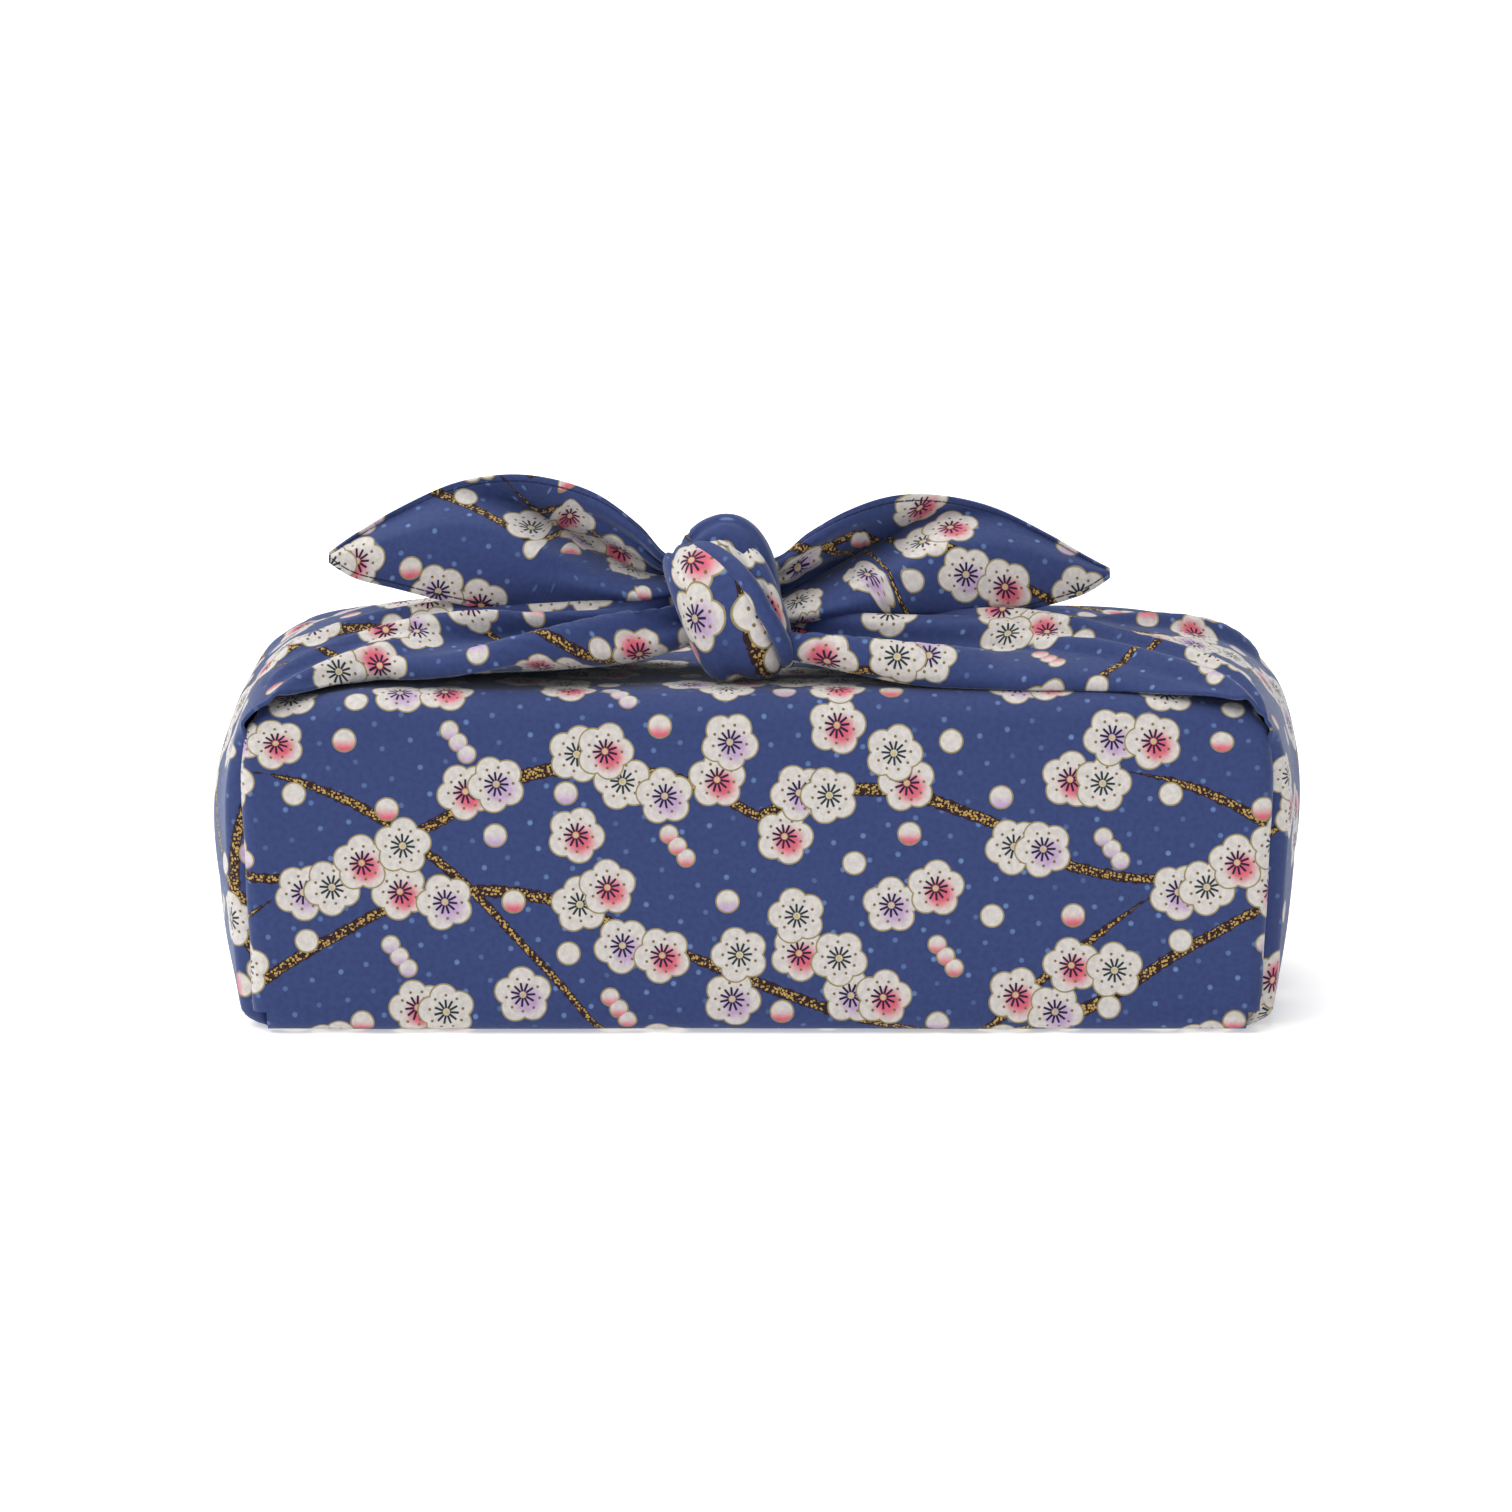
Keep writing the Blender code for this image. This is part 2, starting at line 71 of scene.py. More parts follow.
table_bm = bmesh.new()
bmesh.ops.create_grid(table_bm, x_segments=2, y_segments=2, size=TABLE_SIZE)
table_mesh = bpy.data.meshes.new("pale_table")
table_bm.to_mesh(table_mesh)
table_bm.free()
pale_table = bpy.data.objects.new("pale_table", table_mesh)
bpy.context.scene.collection.objects.link(pale_table)
table_paint = bpy.data.materials.new("table_paint")
table_paint.use_nodes = True
table_shader = table_paint.node_tree.nodes["Principled BSDF"]
table_shader.inputs["Base Color"].default_value = TABLE_WHITE
table_shader.inputs["Roughness"].default_value = TABLE_ROUGHNESS
table_shader.inputs["Emission Color"].default_value = PURE_WHITE
table_shader.inputs["Emission Strength"].default_value = TABLE_GLOW
table_mesh.materials.append(table_paint)

WINDOW_FROM = Vector((-0.42, -0.04, 1.0))
WINDOW_STRENGTH = 3.6
WINDOW_SPREAD = math.radians(75)
window_data = bpy.data.lights.new("window_light", "SUN")
window_data.energy = WINDOW_STRENGTH
window_data.angle = WINDOW_SPREAD
window_light = bpy.data.objects.new("window_light", window_data)
window_light.rotation_euler = WINDOW_FROM.to_track_quat("Z", "Y").to_euler()
bpy.context.scene.collection.objects.link(window_light)

LAMP_PLACE = Vector((-0.62, -0.70, 0.42))
LAMP_AIM = Vector((-0.04, 0.0, 0.04))
LAMP_SIZE = 0.45
LAMP_WATTS = 0.4
lamp_data = bpy.data.lights.new("left_softbox", "AREA")
lamp_data.size = LAMP_SIZE
lamp_data.energy = LAMP_WATTS
left_softbox = bpy.data.objects.new("left_softbox", lamp_data)
left_softbox.location = LAMP_PLACE
left_softbox.rotation_euler = (LAMP_PLACE - LAMP_AIM).to_track_quat("Z", "Y").to_euler()
bpy.context.scene.collection.objects.link(left_softbox)

SKY_STRENGTH = 0.30
sky = bpy.data.worlds.new("white_room")
sky.use_nodes = True
sky_light = sky.node_tree.nodes["Background"]
sky_light.inputs["Color"].default_value = PURE_WHITE
sky_light.inputs["Strength"].default_value = SKY_STRENGTH
bpy.context.scene.world = sky


# The wrapped cloth: a square of printed cotton, set cornerwise under a long box. One corner goes
# up the back and over the top, the opposite one up the front, over the top and down the back, and
# the other two are lifted up the ends and drawn together into arms that run to the knot.
CLOTH = 0.0006
WIDTH = 0.0865
TOP = 0.0640
FLOOR = 0.00075
LAYER_STEP = 0.0024
BASE_HALF_LENGTH = 0.0915
BASE_HALF_WIDTH = 0.0380
BASE_EDGE_RADIUS = 0.0035
TOP_EDGE_RADIUS = 0.0070
UPRIGHT_EDGE_RADIUS = 0.0024
EDGE_TURN = math.radians(115)
FRONT_BELLY = 0.0008
OUTER_HEM_HEIGHT = 0.0060
INNER_HEM_HEIGHT = 0.0400

BASE_COLUMNS = 72
BASE_ROWS = 96
STEPS_PER_SECTION = 8
FOOT_STEPS = 6
TURNED_COLUMNS = 6
OPEN_CORNER_ROWS = 8
SLOPE_STEP = 0.02
FOLD_FADE = 0.6
MARGIN = 0.10
MARGIN_TUCKED_IN = 0.0042
MARGIN_TUCKED_BACK = 0.0014
ROLL = 0.30
ROLL_BACK = 0.0055
ROLL_FORWARD = 0.0046
ROLL_DOWN = 0.0020
LEFT_ROLL = 1.0
RIGHT_ROLL = 0.45
CORNER_FALL = 0.0018
CORNER_LOW = 0.052
CORNER_FROM = 0.78
CALM_ROWS = 6
LONG_WAVE = 0.00016
SHORT_WAVE = 0.00008

# Where along the ends and arms, in sections, the margins stop being tucked in, the arms start to
# roll under, and the roll eases again, and how much of it eases.
TUCK_STOPS = (3.4, 4.8)
ROLL_STARTS = (6.8, 9.2)
ROLL_EASES = (10.0, 12.5)
ROLL_EASED = 0.5

FlapEdge = namedtuple("FlapEdge", "height half_length")
FLAP_EDGES = (
    FlapEdge(0.000, 0.0941),
    FlapEdge(0.012, 0.0945),
    FlapEdge(0.030, 0.0953),
    FlapEdge(0.048, 0.0960),
    FlapEdge(0.058, 0.0952),
    FlapEdge(0.064, 0.0930),
)

Section = namedtuple("Section", "x_front x_middle x_back y_front y_back z_front z_middle z_back")
LEFT_END = (
    Section(0.0964, 0.0992, 0.0964, -0.0405, 0.0405, 0.0045, 0.0045, 0.0045),
    Section(0.0971, 0.1018, 0.0970, -0.0412, 0.0412, 0.0160, 0.0150, 0.0160),
    Section(0.0979, 0.1030, 0.0978, -0.0415, 0.0415, 0.0310, 0.0300, 0.0310),
    Section(0.0986, 0.1016, 0.0984, -0.0415, 0.0415, 0.0450, 0.0440, 0.0450),
    Section(0.0970, 0.0980, 0.0972, -0.0428, 0.0410, 0.0556, 0.0560, 0.0555),
    Section(0.0949, 0.0950, 0.0940, -0.0436, 0.0405, 0.0600, 0.0625, 0.0600),
    Section(0.0915, 0.0918, 0.0898, -0.0426, 0.0395, 0.0625, 0.0664, 0.0632),
    Section(0.0860, 0.0860, 0.0835, -0.0402, 0.0380, 0.0642, 0.0700, 0.0654),
    Section(0.0760, 0.0760, 0.0740, -0.0368, 0.0320, 0.0663, 0.0730, 0.0663),
    Section(0.0640, 0.0640, 0.0620, -0.0350, 0.0240, 0.0678, 0.0750, 0.0663),
    Section(0.0500, 0.0500, 0.0490, -0.0344, 0.0140, 0.0684, 0.0767, 0.0665),
    Section(0.0360, 0.0360, 0.0350, -0.0336, 0.0050, 0.0688, 0.0777, 0.0670),
    Section(0.0240, 0.0240, 0.0240, -0.0314, -0.0010, 0.0694, 0.0786, 0.0690),
    Section(0.0140, 0.0140, 0.0140, -0.0270, -0.0050, 0.0715, 0.0790, 0.0710),
    Section(0.0080, 0.0080, 0.0080, -0.0240, -0.0070, 0.0730, 0.0785, 0.0725),
)
RIGHT_END = (
    Section(0.0964, 0.0992, 0.0964, -0.0405, 0.0405, 0.0045, 0.0045, 0.0045),
    Section(0.0971, 0.1014, 0.0970, -0.0412, 0.0412, 0.0160, 0.0150, 0.0160),
    Section(0.0979, 0.1028, 0.0978, -0.0415, 0.0415, 0.0310, 0.0300, 0.0310),
    Section(0.0986, 0.1024, 0.0986, -0.0415, 0.0415, 0.0450, 0.0450, 0.0450),
    Section(0.0970, 0.0998, 0.0978, -0.0430, 0.0410, 0.0548, 0.0570, 0.0555),
    Section(0.0949, 0.0964, 0.0944, -0.0438, 0.0405, 0.0590, 0.0628, 0.0604),
    Section(0.0920, 0.0926, 0.0908, -0.0432, 0.0395, 0.0620, 0.0664, 0.0636),
    Section(0.0860, 0.0856, 0.0840, -0.0416, 0.0380, 0.0639, 0.0696, 0.0652),
    Section(0.0740, 0.0740, 0.0730, -0.0408, 0.0320, 0.0646, 0.0722, 0.0662),
    Section(0.0600, 0.0600, 0.0590, -0.0402, 0.0240, 0.0653, 0.0738, 0.0665),
    Section(0.0450, 0.0450, 0.0440, -0.0400, 0.0140, 0.0653, 0.0745, 0.0665),
    Section(0.0300, 0.0300, 0.0290, -0.0390, 0.0050, 0.0656, 0.0745, 0.0670),
    Section(0.0180, 0.0180, 0.0180, -0.0350, -0.0010, 0.0672, 0.0745, 0.0690),
    Section(0.0080, 0.0080, 0.0080, -0.0290, -0.0050, 0.0690, 0.0745, 0.0705),
    Section(0.0030, 0.0030, 0.0030, -0.0250, -0.0070, 0.0700, 0.0740, 0.0715),
)

# Folds of the ends and arms: first and last section, place across the cloth there from -1 at the
# front to 1 at the back, depth, and the width of the side towards the front and towards the back.
Fold = namedtuple("Fold", "first last across_first across_last depth front_width back_width")
LEFT_FOLDS = (
    Fold(1.5, 5.5, -0.75, 0.10, 0.0014, 0.20, 0.10),
    Fold(2.5, 7.0, 0.55, 0.40, 0.0013, 0.10, 0.20),
    Fold(6.0, 12.6, -0.76, -0.50, 0.0032, 0.035, 0.12),
    Fold(5.8, 12.2, -0.70, -0.38, -0.0014, 0.05, 0.10),
    Fold(6.2, 10.4, -1.02, -0.58, 0.0024, 0.03, 0.09),
    Fold(6.0, 12.5, -0.44, -0.12, 0.0022, 0.04, 0.14),
    Fold(8.6, 15.5, -0.96, -0.44, 0.0046, 0.055, 0.060),
    Fold(9.2, 19.0, -0.78, -0.10, -0.0022, 0.10, 0.12),
    Fold(8.6, 19.0, -0.36, -0.22, 0.0021, 0.10, 0.07),
    Fold(9.4, 19.0, -0.06, 0.02, 0.0016, 0.07, 0.10),
    Fold(7.6, 19.0, 0.24, 0.22, 0.0024, 0.12, 0.08),
    Fold(6.5, 19.0, 0.62, 0.52, 0.0024, 0.10, 0.12),
    Fold(8.0, 19.0, 0.88, 0.80, 0.0018, 0.08, 0.08),
    Fold(3.5, 8.0, 0.80, 0.70, 0.0012, 0.08, 0.12),
)
RIGHT_FOLDS = (
    Fold(2.0, 6.0, -0.50, 0.35, 0.0012, 0.18, 0.10),
    Fold(5.2, 8.8, 0.08, -0.12, 0.0030, 0.05, 0.05),
    Fold(5.0, 9.4, 0.36, 0.16, -0.0016, 0.14, 0.20),
    Fold(5.8, 10.4, -1.06, -0.40, 0.0024, 0.035, 0.12),
    Fold(5.2, 11.0, -1.00, -0.08, 0.0024, 0.035, 0.13),
    Fold(10.0, 18.0, -0.68, -1.12, 0.0060, 0.12, 0.042),
    Fold(8.8, 19.0, -0.54, -0.58, -0.0026, 0.10, 0.12),
    Fold(8.6, 14.0, -0.40, -0.30, 0.0018, 0.05, 0.10),
    Fold(9.6, 19.0, -0.94, -0.96, -0.0012, 0.12, 0.12),
    Fold(8.4, 19.0, -0.24, -0.22, 0.0022, 0.08, 0.10),
    Fold(9.6, 19.0, -0.08, 0.00, 0.0018, 0.10, 0.07),
    Fold(8.0, 19.0, 0.24, 0.28, 0.0024, 0.08, 0.12),
    Fold(7.0, 19.0, 0.60, 0.58, 0.0024, 0.12, 0.10),
    Fold(8.0, 19.0, 0.88, 0.84, 0.0018, 0.08, 0.08),
)


def smooth_row(rows, position):
    """The row of a table at a fractional row number, on a smooth curve through its rows."""
    last = len(rows) - 1
    position = min(max(position, 0.0), float(last))
    start = min(int(position), last - 1)
    f = position - start
    before = rows[max(start - 1, 0)]
    after = rows[min(start + 2, last)]
    values = []
    for p0, p1, p2, p3 in zip(before, rows[start], rows[start + 1], after):
        bend = (2 * p0 - 5 * p1 + 4 * p2 - p3) * f * f
        twist = (3 * p1 - p0 - 3 * p2 + p3) * f * f * f
        values.append(0.5 * (2 * p1 + (p2 - p0) * f + bend + twist))
    return type(rows[0])(*values)


def three_point_curve(front, middle, back, across):
    lean = (back - front) / 2
    bend = (back + front) / 2 - middle
    return middle + lean * across + bend * across * across


def ease(value, start, end):
    """0 at start, 1 at end, and soft between."""
    share = min(max((value - start) / (end - start), 0.0), 1.0)
    return share * share * (3 - 2 * share)


def flap_half_length(height):
    for low, high in zip(FLAP_EDGES, FLAP_EDGES[1:]):
        if height <= high.height:
            share = ease(height, low.height, high.height)
            return low.half_length + (high.half_length - low.half_length) * share
    return FLAP_EDGES[-1].half_length


def rounded_path(start, corners, end, straight_steps):
    """Points (y, z) from start to end past rounded corners, each (y, z, radius, steps)."""
    stops = [Vector(start)] + [Vector(corner[:2]) for corner in corners] + [Vector(end)]
    points = []
    run_start = stops[0]
    for number, (y, z, radius, steps) in enumerate(corners):
        corner = Vector((y, z))
        incoming = (corner - stops[number]).normalized()
        outgoing = (stops[number + 2] - corner).normalized()
        arc_start = corner - incoming * radius
        straight = straight_steps[number]
        points += [run_start.lerp(arc_start, step / straight) for step in range(straight)]
        for step in range(steps):
            angle = math.pi / 2 * step / steps
            points.append(arc_start + incoming * radius * math.sin(angle)
                          + outgoing * radius * (1 - math.cos(angle)))
        run_start = corner + outgoing * radius
    straight = straight_steps[-1]
    points += [run_start.lerp(stops[-1], step / straight) for step in range(straight + 1)]
    return points


half = WIDTH / 2
outer_path = rounded_path(
    (-BASE_HALF_WIDTH, FLOOR),
    [(-half, FLOOR, BASE_EDGE_RADIUS, 7), (-half, TOP, TOP_EDGE_RADIUS, 10),
     (half, TOP, TOP_EDGE_RADIUS, 8)],
    (half, OUTER_HEM_HEIGHT), (1, 34, 40, 26))
inner_half = half - LAYER_STEP
inner_top = TOP - LAYER_STEP
inner_radius = TOP_EDGE_RADIUS - LAYER_STEP
inner_path = rounded_path(
    (BASE_HALF_WIDTH, FLOOR),
    [(inner_half, FLOOR, BASE_EDGE_RADIUS - 0.0012, 4), (inner_half, inner_top, inner_radius, 6),
     (-inner_half, inner_top, inner_radius, 6)],
    (-inner_half, INNER_HEM_HEIGHT), (1, 22, 34, 8))


def path_lengths(path):
    lengths = [0.0]
    for here, there in zip(path, path[1:]):
        lengths.append(lengths[-1] + (there - here).length)
    return lengths


def path_inward(path, row):
    along = (path[min(row + 1, len(path) - 1)] - path[max(row - 1, 0)]).normalized()
    return Vector((along.y, -along.x)) if path[0].x < 0 else Vector((-along.y, along.x))


def flap_unevenness(x, length):
    """The soft unevenness of the flat cloth, a few tenths of a millimetre."""
    wave = math.sin(x * 61 + length * 23) + 0.6 * math.sin(x * 37 - length * 71 + 1.3)
    return LONG_WAVE * wave + SHORT_WAVE * math.sin(x * 173 + length * 131)


def flap_point(path, row, share, turned, sideways):
    place = path[row]
    flat_edge = flap_half_length(place.y) - UPRIGHT_EDGE_RADIUS
    inward = path_inward(path, row)
    x = flat_edge * share
    depth = 0.0
    if turned:
        turn = turned / TURNED_COLUMNS * EDGE_TURN
        x = flat_edge + UPRIGHT_EDGE_RADIUS * math.sin(turn)
        depth = UPRIGHT_EDGE_RADIUS * (1 - math.cos(turn))
    belly = FRONT_BELLY * math.cos(math.pi / 2 * share) * math.sin(math.pi * min(place.y / TOP, 1.0))
    uneven = flap_unevenness(sideways * x, place.x + place.y)
    raised = belly + uneven * min(row / CALM_ROWS, 1.0) * (1 - share ** 8)
    spot = place + inward * (depth - raised)
    fall = CORNER_FALL * ease(x, CORNER_FROM * flat_edge, flat_edge) * ease(spot.y, CORNER_LOW, TOP)
    return Vector((sideways * x, spot.x, spot.y - fall))


def fold_depth(folds, position, across):
    depth = 0.0
    for fold in folds:
        along = (position - fold.first) / (fold.last - fold.first)
        if 0.0 < along < 1.0:
            off = across - (fold.across_first + (fold.across_last - fold.across_first) * along)
            width = fold.front_width if off < 0 else fold.back_width
            depth += fold.depth * math.sin(math.pi * along) ** FOLD_FADE * math.exp(-(off / width) ** 2)
    return depth


def end_surface(rows, position, across, sideways):
    """The end and arm without folds: margins tucked behind the front and back, arms rolled under."""
    section = smooth_row(rows, position)
    x = three_point_curve(section.x_front, section.x_middle, section.x_back, across)
    z = three_point_curve(section.z_front, section.z_middle, section.z_back, across)
    y = section.y_front + (section.y_back - section.y_front) * (across + 1) / 2
    outwards = -1 if across < 0 else 1
    margin = max(abs(across) - 1 + MARGIN, 0.0) / MARGIN
    tucked = margin * margin * (1 - ease(position, *TUCK_STOPS))
    x -= MARGIN_TUCKED_IN * tucked
    y -= MARGIN_TUCKED_BACK * tucked * outwards
    rolled = max(-across - 1 + ROLL, 0.0) / ROLL
    under = ease(position, *ROLL_STARTS) * (LEFT_ROLL if sideways < 0 else RIGHT_ROLL)
    under *= 1 - ROLL_EASED * ease(position, *ROLL_EASES)
    y += (ROLL_BACK * rolled ** 3 - ROLL_FORWARD * math.sin(math.pi * rolled)) * under
    z -= ROLL_DOWN * rolled * rolled * under
    return Vector((sideways * x, y, z))


def end_point(rows, folds, position, across, sideways):
    point = end_surface(rows, position, across, sideways)
    along = end_surface(rows, position + SLOPE_STEP, across, sideways)
    along -= end_surface(rows, position - SLOPE_STEP, across, sideways)
    over = end_surface(rows, position, across + SLOPE_STEP, sideways)
    over -= end_surface(rows, position, across - SLOPE_STEP, sideways)
    inward = over.cross(along).normalized() * sideways
    return point + inward * fold_depth(folds, position, across)


def foot_point(rows, step, v, sideways):
    across = v / BASE_HALF_WIDTH
    start = Vector((sideways * BASE_HALF_LENGTH, v, FLOOR))
    stop = end_surface(rows, 0.0, across, sideways)
    angle = math.pi / 2 * step / FOOT_STEPS
    x = start.x + (stop.x - start.x) * math.sin(angle)
    y = start.y + (stop.y - start.y) * math.sin(angle)
    z = start.z + (stop.z - start.z) * (1 - math.cos(angle))
    return Vector((x, y, z))


arm_steps = FOOT_STEPS + (len(LEFT_END) - 1) * STEPS_PER_SECTION
outer_rows = len(outer_path) - 1
inner_rows = len(inner_path) - 1
wrap_columns = BASE_COLUMNS + 2 * arm_steps
wrap_rows = outer_rows + BASE_ROWS + inner_rows

wrap_bm = bmesh.new()
bmesh.ops.create_grid(wrap_bm, x_segments=wrap_columns, y_segments=wrap_rows, size=1.0)


def cell_kept(column, row):
    in_base_columns = arm_steps <= column < arm_steps + BASE_COLUMNS
    in_base_rows = outer_rows <= row < outer_rows + BASE_ROWS
    beside = min(abs(column + 0.5 - arm_steps), abs(column + 0.5 - arm_steps - BASE_COLUMNS))
    turned = beside < TURNED_COLUMNS and row < outer_rows - OPEN_CORNER_ROWS
    return in_base_columns or in_base_rows or turned


spare = []
for face in wrap_bm.faces:
    centre = face.calc_center_median()
    if not cell_kept(int((centre.x + 1) / 2 * wrap_columns), int((centre.y + 1) / 2 * wrap_rows)):
        spare.append(face)
bmesh.ops.delete(wrap_bm, geom=spare, context="FACES")

knots_of_grid = {}
for vertex in wrap_bm.verts:
    column = round((vertex.co.x + 1) / 2 * wrap_columns) - arm_steps
    row = round((vertex.co.y + 1) / 2 * wrap_rows) - outer_rows
    knots_of_grid[column, row] = vertex
    share = 2 * column / BASE_COLUMNS - 1
    v = (2 * row / BASE_ROWS - 1) * BASE_HALF_WIDTH
    sideways = -1 if share < 0 else 1
    past_base = max(-column, column - BASE_COLUMNS)
    if row < 0:
        vertex.co = flap_point(outer_path, -row, min(abs(share), 1.0), max(past_base, 0), sideways)
    elif row > BASE_ROWS:
        vertex.co = flap_point(inner_path, row - BASE_ROWS, abs(share), 0, sideways)
    elif past_base <= 0:
        vertex.co = Vector((share * BASE_HALF_LENGTH, v, FLOOR))
    else:
        sections = LEFT_END if sideways < 0 else RIGHT_END
        folds = LEFT_FOLDS if sideways < 0 else RIGHT_FOLDS
        if past_base <= FOOT_STEPS:
            vertex.co = foot_point(sections, past_base, v, sideways)
        else:
            position = (past_base - FOOT_STEPS) / STEPS_PER_SECTION
            vertex.co = end_point(sections, folds, position, v / BASE_HALF_WIDTH, sideways)

# The flat cloth under each point, in metres: along the box and across it, upright on the front.
flat_place = {}
outer_lengths = path_lengths(outer_path)
inner_lengths = path_lengths(inner_path)
middle_row = BASE_ROWS // 2
for (column, row), vertex in knots_of_grid.items():
    share = 2 * column / BASE_COLUMNS - 1
    past_base = max(-column, column - BASE_COLUMNS)
    if row < 0:
        up = BASE_HALF_WIDTH + outer_lengths[-row]
        flat_place[vertex] = (vertex.co.x, up)
        if past_base > 0:
            edge = knots_of_grid[0 if column < 0 else BASE_COLUMNS, row].co.x
            turn = UPRIGHT_EDGE_RADIUS * EDGE_TURN / TURNED_COLUMNS * past_base
            flat_place[vertex] = (edge + math.copysign(turn, edge), up)
    elif row > BASE_ROWS:
        flat_place[vertex] = (vertex.co.x, -BASE_HALF_WIDTH - inner_lengths[row - BASE_ROWS])
    elif past_base <= 0:
        flat_place[vertex] = (vertex.co.x, -vertex.co.y)
for sideways in (-1, 1):
    reach = sideways * BASE_HALF_LENGTH
    for past_base in range(1, arm_steps + 1):
        column = -past_base if sideways < 0 else BASE_COLUMNS + past_base
        here = knots_of_grid[column, middle_row]
        reach += sideways * (here.co - knots_of_grid[column - sideways, middle_row].co).length
        flat_place[here] = (reach, 0.0)
        for way in (-1, 1):
            out = 0.0
            row = middle_row
            while 0 < row < BASE_ROWS:
                out += (knots_of_grid[column, row + way].co - knots_of_grid[column, row].co).length
                row += way
                flat_place[knots_of_grid[column, row]] = (reach, -way * out)


def lay_flat_cloth(bm, places):
    """Keeps the place on the flat cloth with each point, for the print and the weave."""
    layer = bm.loops.layers.uv.new("flat_cloth")
    for face in bm.faces:
        for loop in face.loops:
            loop[layer].uv = places[loop.vert]


def cloth_object(name, bm):
    bmesh.ops.recalc_face_normals(bm, faces=bm.faces)
    mesh = bpy.data.meshes.new(name)
    bm.to_mesh(mesh)
    bm.free()
    mesh.shade_smooth()
    piece = bpy.data.objects.new(name, mesh)
    bpy.context.scene.collection.objects.link(piece)
    return piece


def make_sheet(piece):
    """Gives a single surface the cloth's thickness."""
    thickness = piece.modifiers.new("thickness", "SOLIDIFY")
    thickness.thickness = CLOTH
    thickness.offset = 0.0


lay_flat_cloth(wrap_bm, flat_place)
wrapped_cloth = cloth_object("wrapped_cloth", wrap_bm)
make_sheet(wrapped_cloth)


# The print, worked out for this cloth: small dots on blue, boughs of plum in brown and gold, plum
# blossoms and buds. Its repeat is charted in squares of 10.2 mm, and drawn on the flat cloth.
FLOAT = "NodeSocketFloat"
COLOUR = "NodeSocketColor"
VECTOR = "NodeSocketVector"
MILLIMETRES = 1000.0
SQUARE = 10.2
CHART_COLUMNS = 16
CHART_ROWS = 10


def maths(tree, operation, *values):
    node = tree.nodes.new("ShaderNodeMath")
    node.operation = operation
    for socket, value in zip(node.inputs, values):
        if isinstance(value, bpy.types.NodeSocket):
            tree.links.new(value, socket)
        else:
            socket.default_value = value
    return node.outputs[0]


def times(tree, first, second):
    return maths(tree, "MULTIPLY", first, second)


def plus(tree, first, second):
    return maths(tree, "ADD", first, second)


def minus(tree, first, second):
    return maths(tree, "SUBTRACT", first, second)


def parts_of(tree, kind, value):
    """The numbers in a place, with kind XYZ, or in a colour, with kind Color."""
    node = tree.nodes.new("ShaderNodeSeparate" + kind)
    tree.links.new(value, node.inputs[0])
    return node.outputs


def scaled(tree, value, factor):
    node = tree.nodes.new("ShaderNodeVectorMath")
    node.operation = "SCALE"
    tree.links.new(value, node.inputs[0])
    if isinstance(factor, bpy.types.NodeSocket):
        tree.links.new(factor, node.inputs["Scale"])
    else:
        node.inputs["Scale"].default_value = factor
    return node.outputs[0]


def fade(tree, value, start, end):
    """0 where the value is start, 1 where it is end, and soft between."""
    node = tree.nodes.new("ShaderNodeMapRange")
    node.interpolation_type = "SMOOTHSTEP"
    tree.links.new(value, node.inputs["Value"])
    node.inputs["From Min"].default_value = start
    node.inputs["From Max"].default_value = end
    return node.outputs["Result"]


def dye(tree, factor, under, over):
    """Lays one colour over another."""
    node = tree.nodes.new("ShaderNodeMix")
    node.data_type = "RGBA"
    for name, value in (("Factor_Float", factor), ("A_Color", under), ("B_Color", over)):
        socket = next(each for each in node.inputs if each.identifier == name)
        if isinstance(value, bpy.types.NodeSocket):
            tree.links.new(value, socket)
        elif isinstance(value, tuple):
            socket.default_value = (*value, 1.0)
        else:
            socket.default_value = value
    return next(each for each in node.outputs if each.identifier == "Result_Color")


def distance(tree, across, up):
    squared = plus(tree, times(tree, across, across), times(tree, up, up))
    return maths(tree, "SQRT", squared)


def new_group(name, inputs, outputs):
    tree = bpy.data.node_groups.new(name, "ShaderNodeTree")
    for label, kind in inputs:
        tree.interface.new_socket(label, in_out="INPUT", socket_type=kind)
    for label, kind in outputs:
        tree.interface.new_socket(label, in_out="OUTPUT", socket_type=kind)
    start = tree.nodes.new("NodeGroupInput")
    end = tree.nodes.new("NodeGroupOutput")
    return tree, start.outputs, end.inputs


def use_group(tree, group, **values):
    node = tree.nodes.new("ShaderNodeGroup")
    node.node_tree = group
    for label, value in values.items():
        socket = node.inputs[label.replace("_", " ")]
        if isinstance(value, bpy.types.NodeSocket):
            tree.links.new(value, socket)
        else:
            socket.default_value = value
    return node.outputs


def colour_steps(tree, value, steps):
    """A colour for each range of a value, from steps of (start, colour)."""
    ramp = tree.nodes.new("ShaderNodeValToRGB")
    ramp.color_ramp.interpolation = "CONSTANT"
    elements = ramp.color_ramp.elements
    starts, colours = zip(*steps)
    for number, start in enumerate(starts):
        element = elements[number] if number < 2 else elements.new(start)
        element.position = start
    for element, colour in zip(elements, colours):
        element.color = (*colour, 1.0) if len(colour) == 3 else colour
    tree.links.new(value, ramp.inputs[0])
    return ramp.outputs


BLUE = (0.030, 0.048, 0.152)
DOT_BLUE = (0.120, 0.200, 0.400)
PETAL_WHITE = (0.565, 0.530, 0.500)
LAVENDER = (0.440, 0.310, 0.480)
PINK = (0.580, 0.105, 0.155)
RIM_GOLD = (0.260, 0.210, 0.090)
STAMEN_NAVY = (0.012, 0.008, 0.034)
STAMEN_GREEN = (0.018, 0.026, 0.030)
ANTHER_GOLD = (0.180, 0.120, 0.045)
HEART_YELLOW = (0.500, 0.400, 0.190)
BOUGH_BROWN = (0.022, 0.007, 0.010)
BOUGH_GOLD = (0.450, 0.290, 0.080)

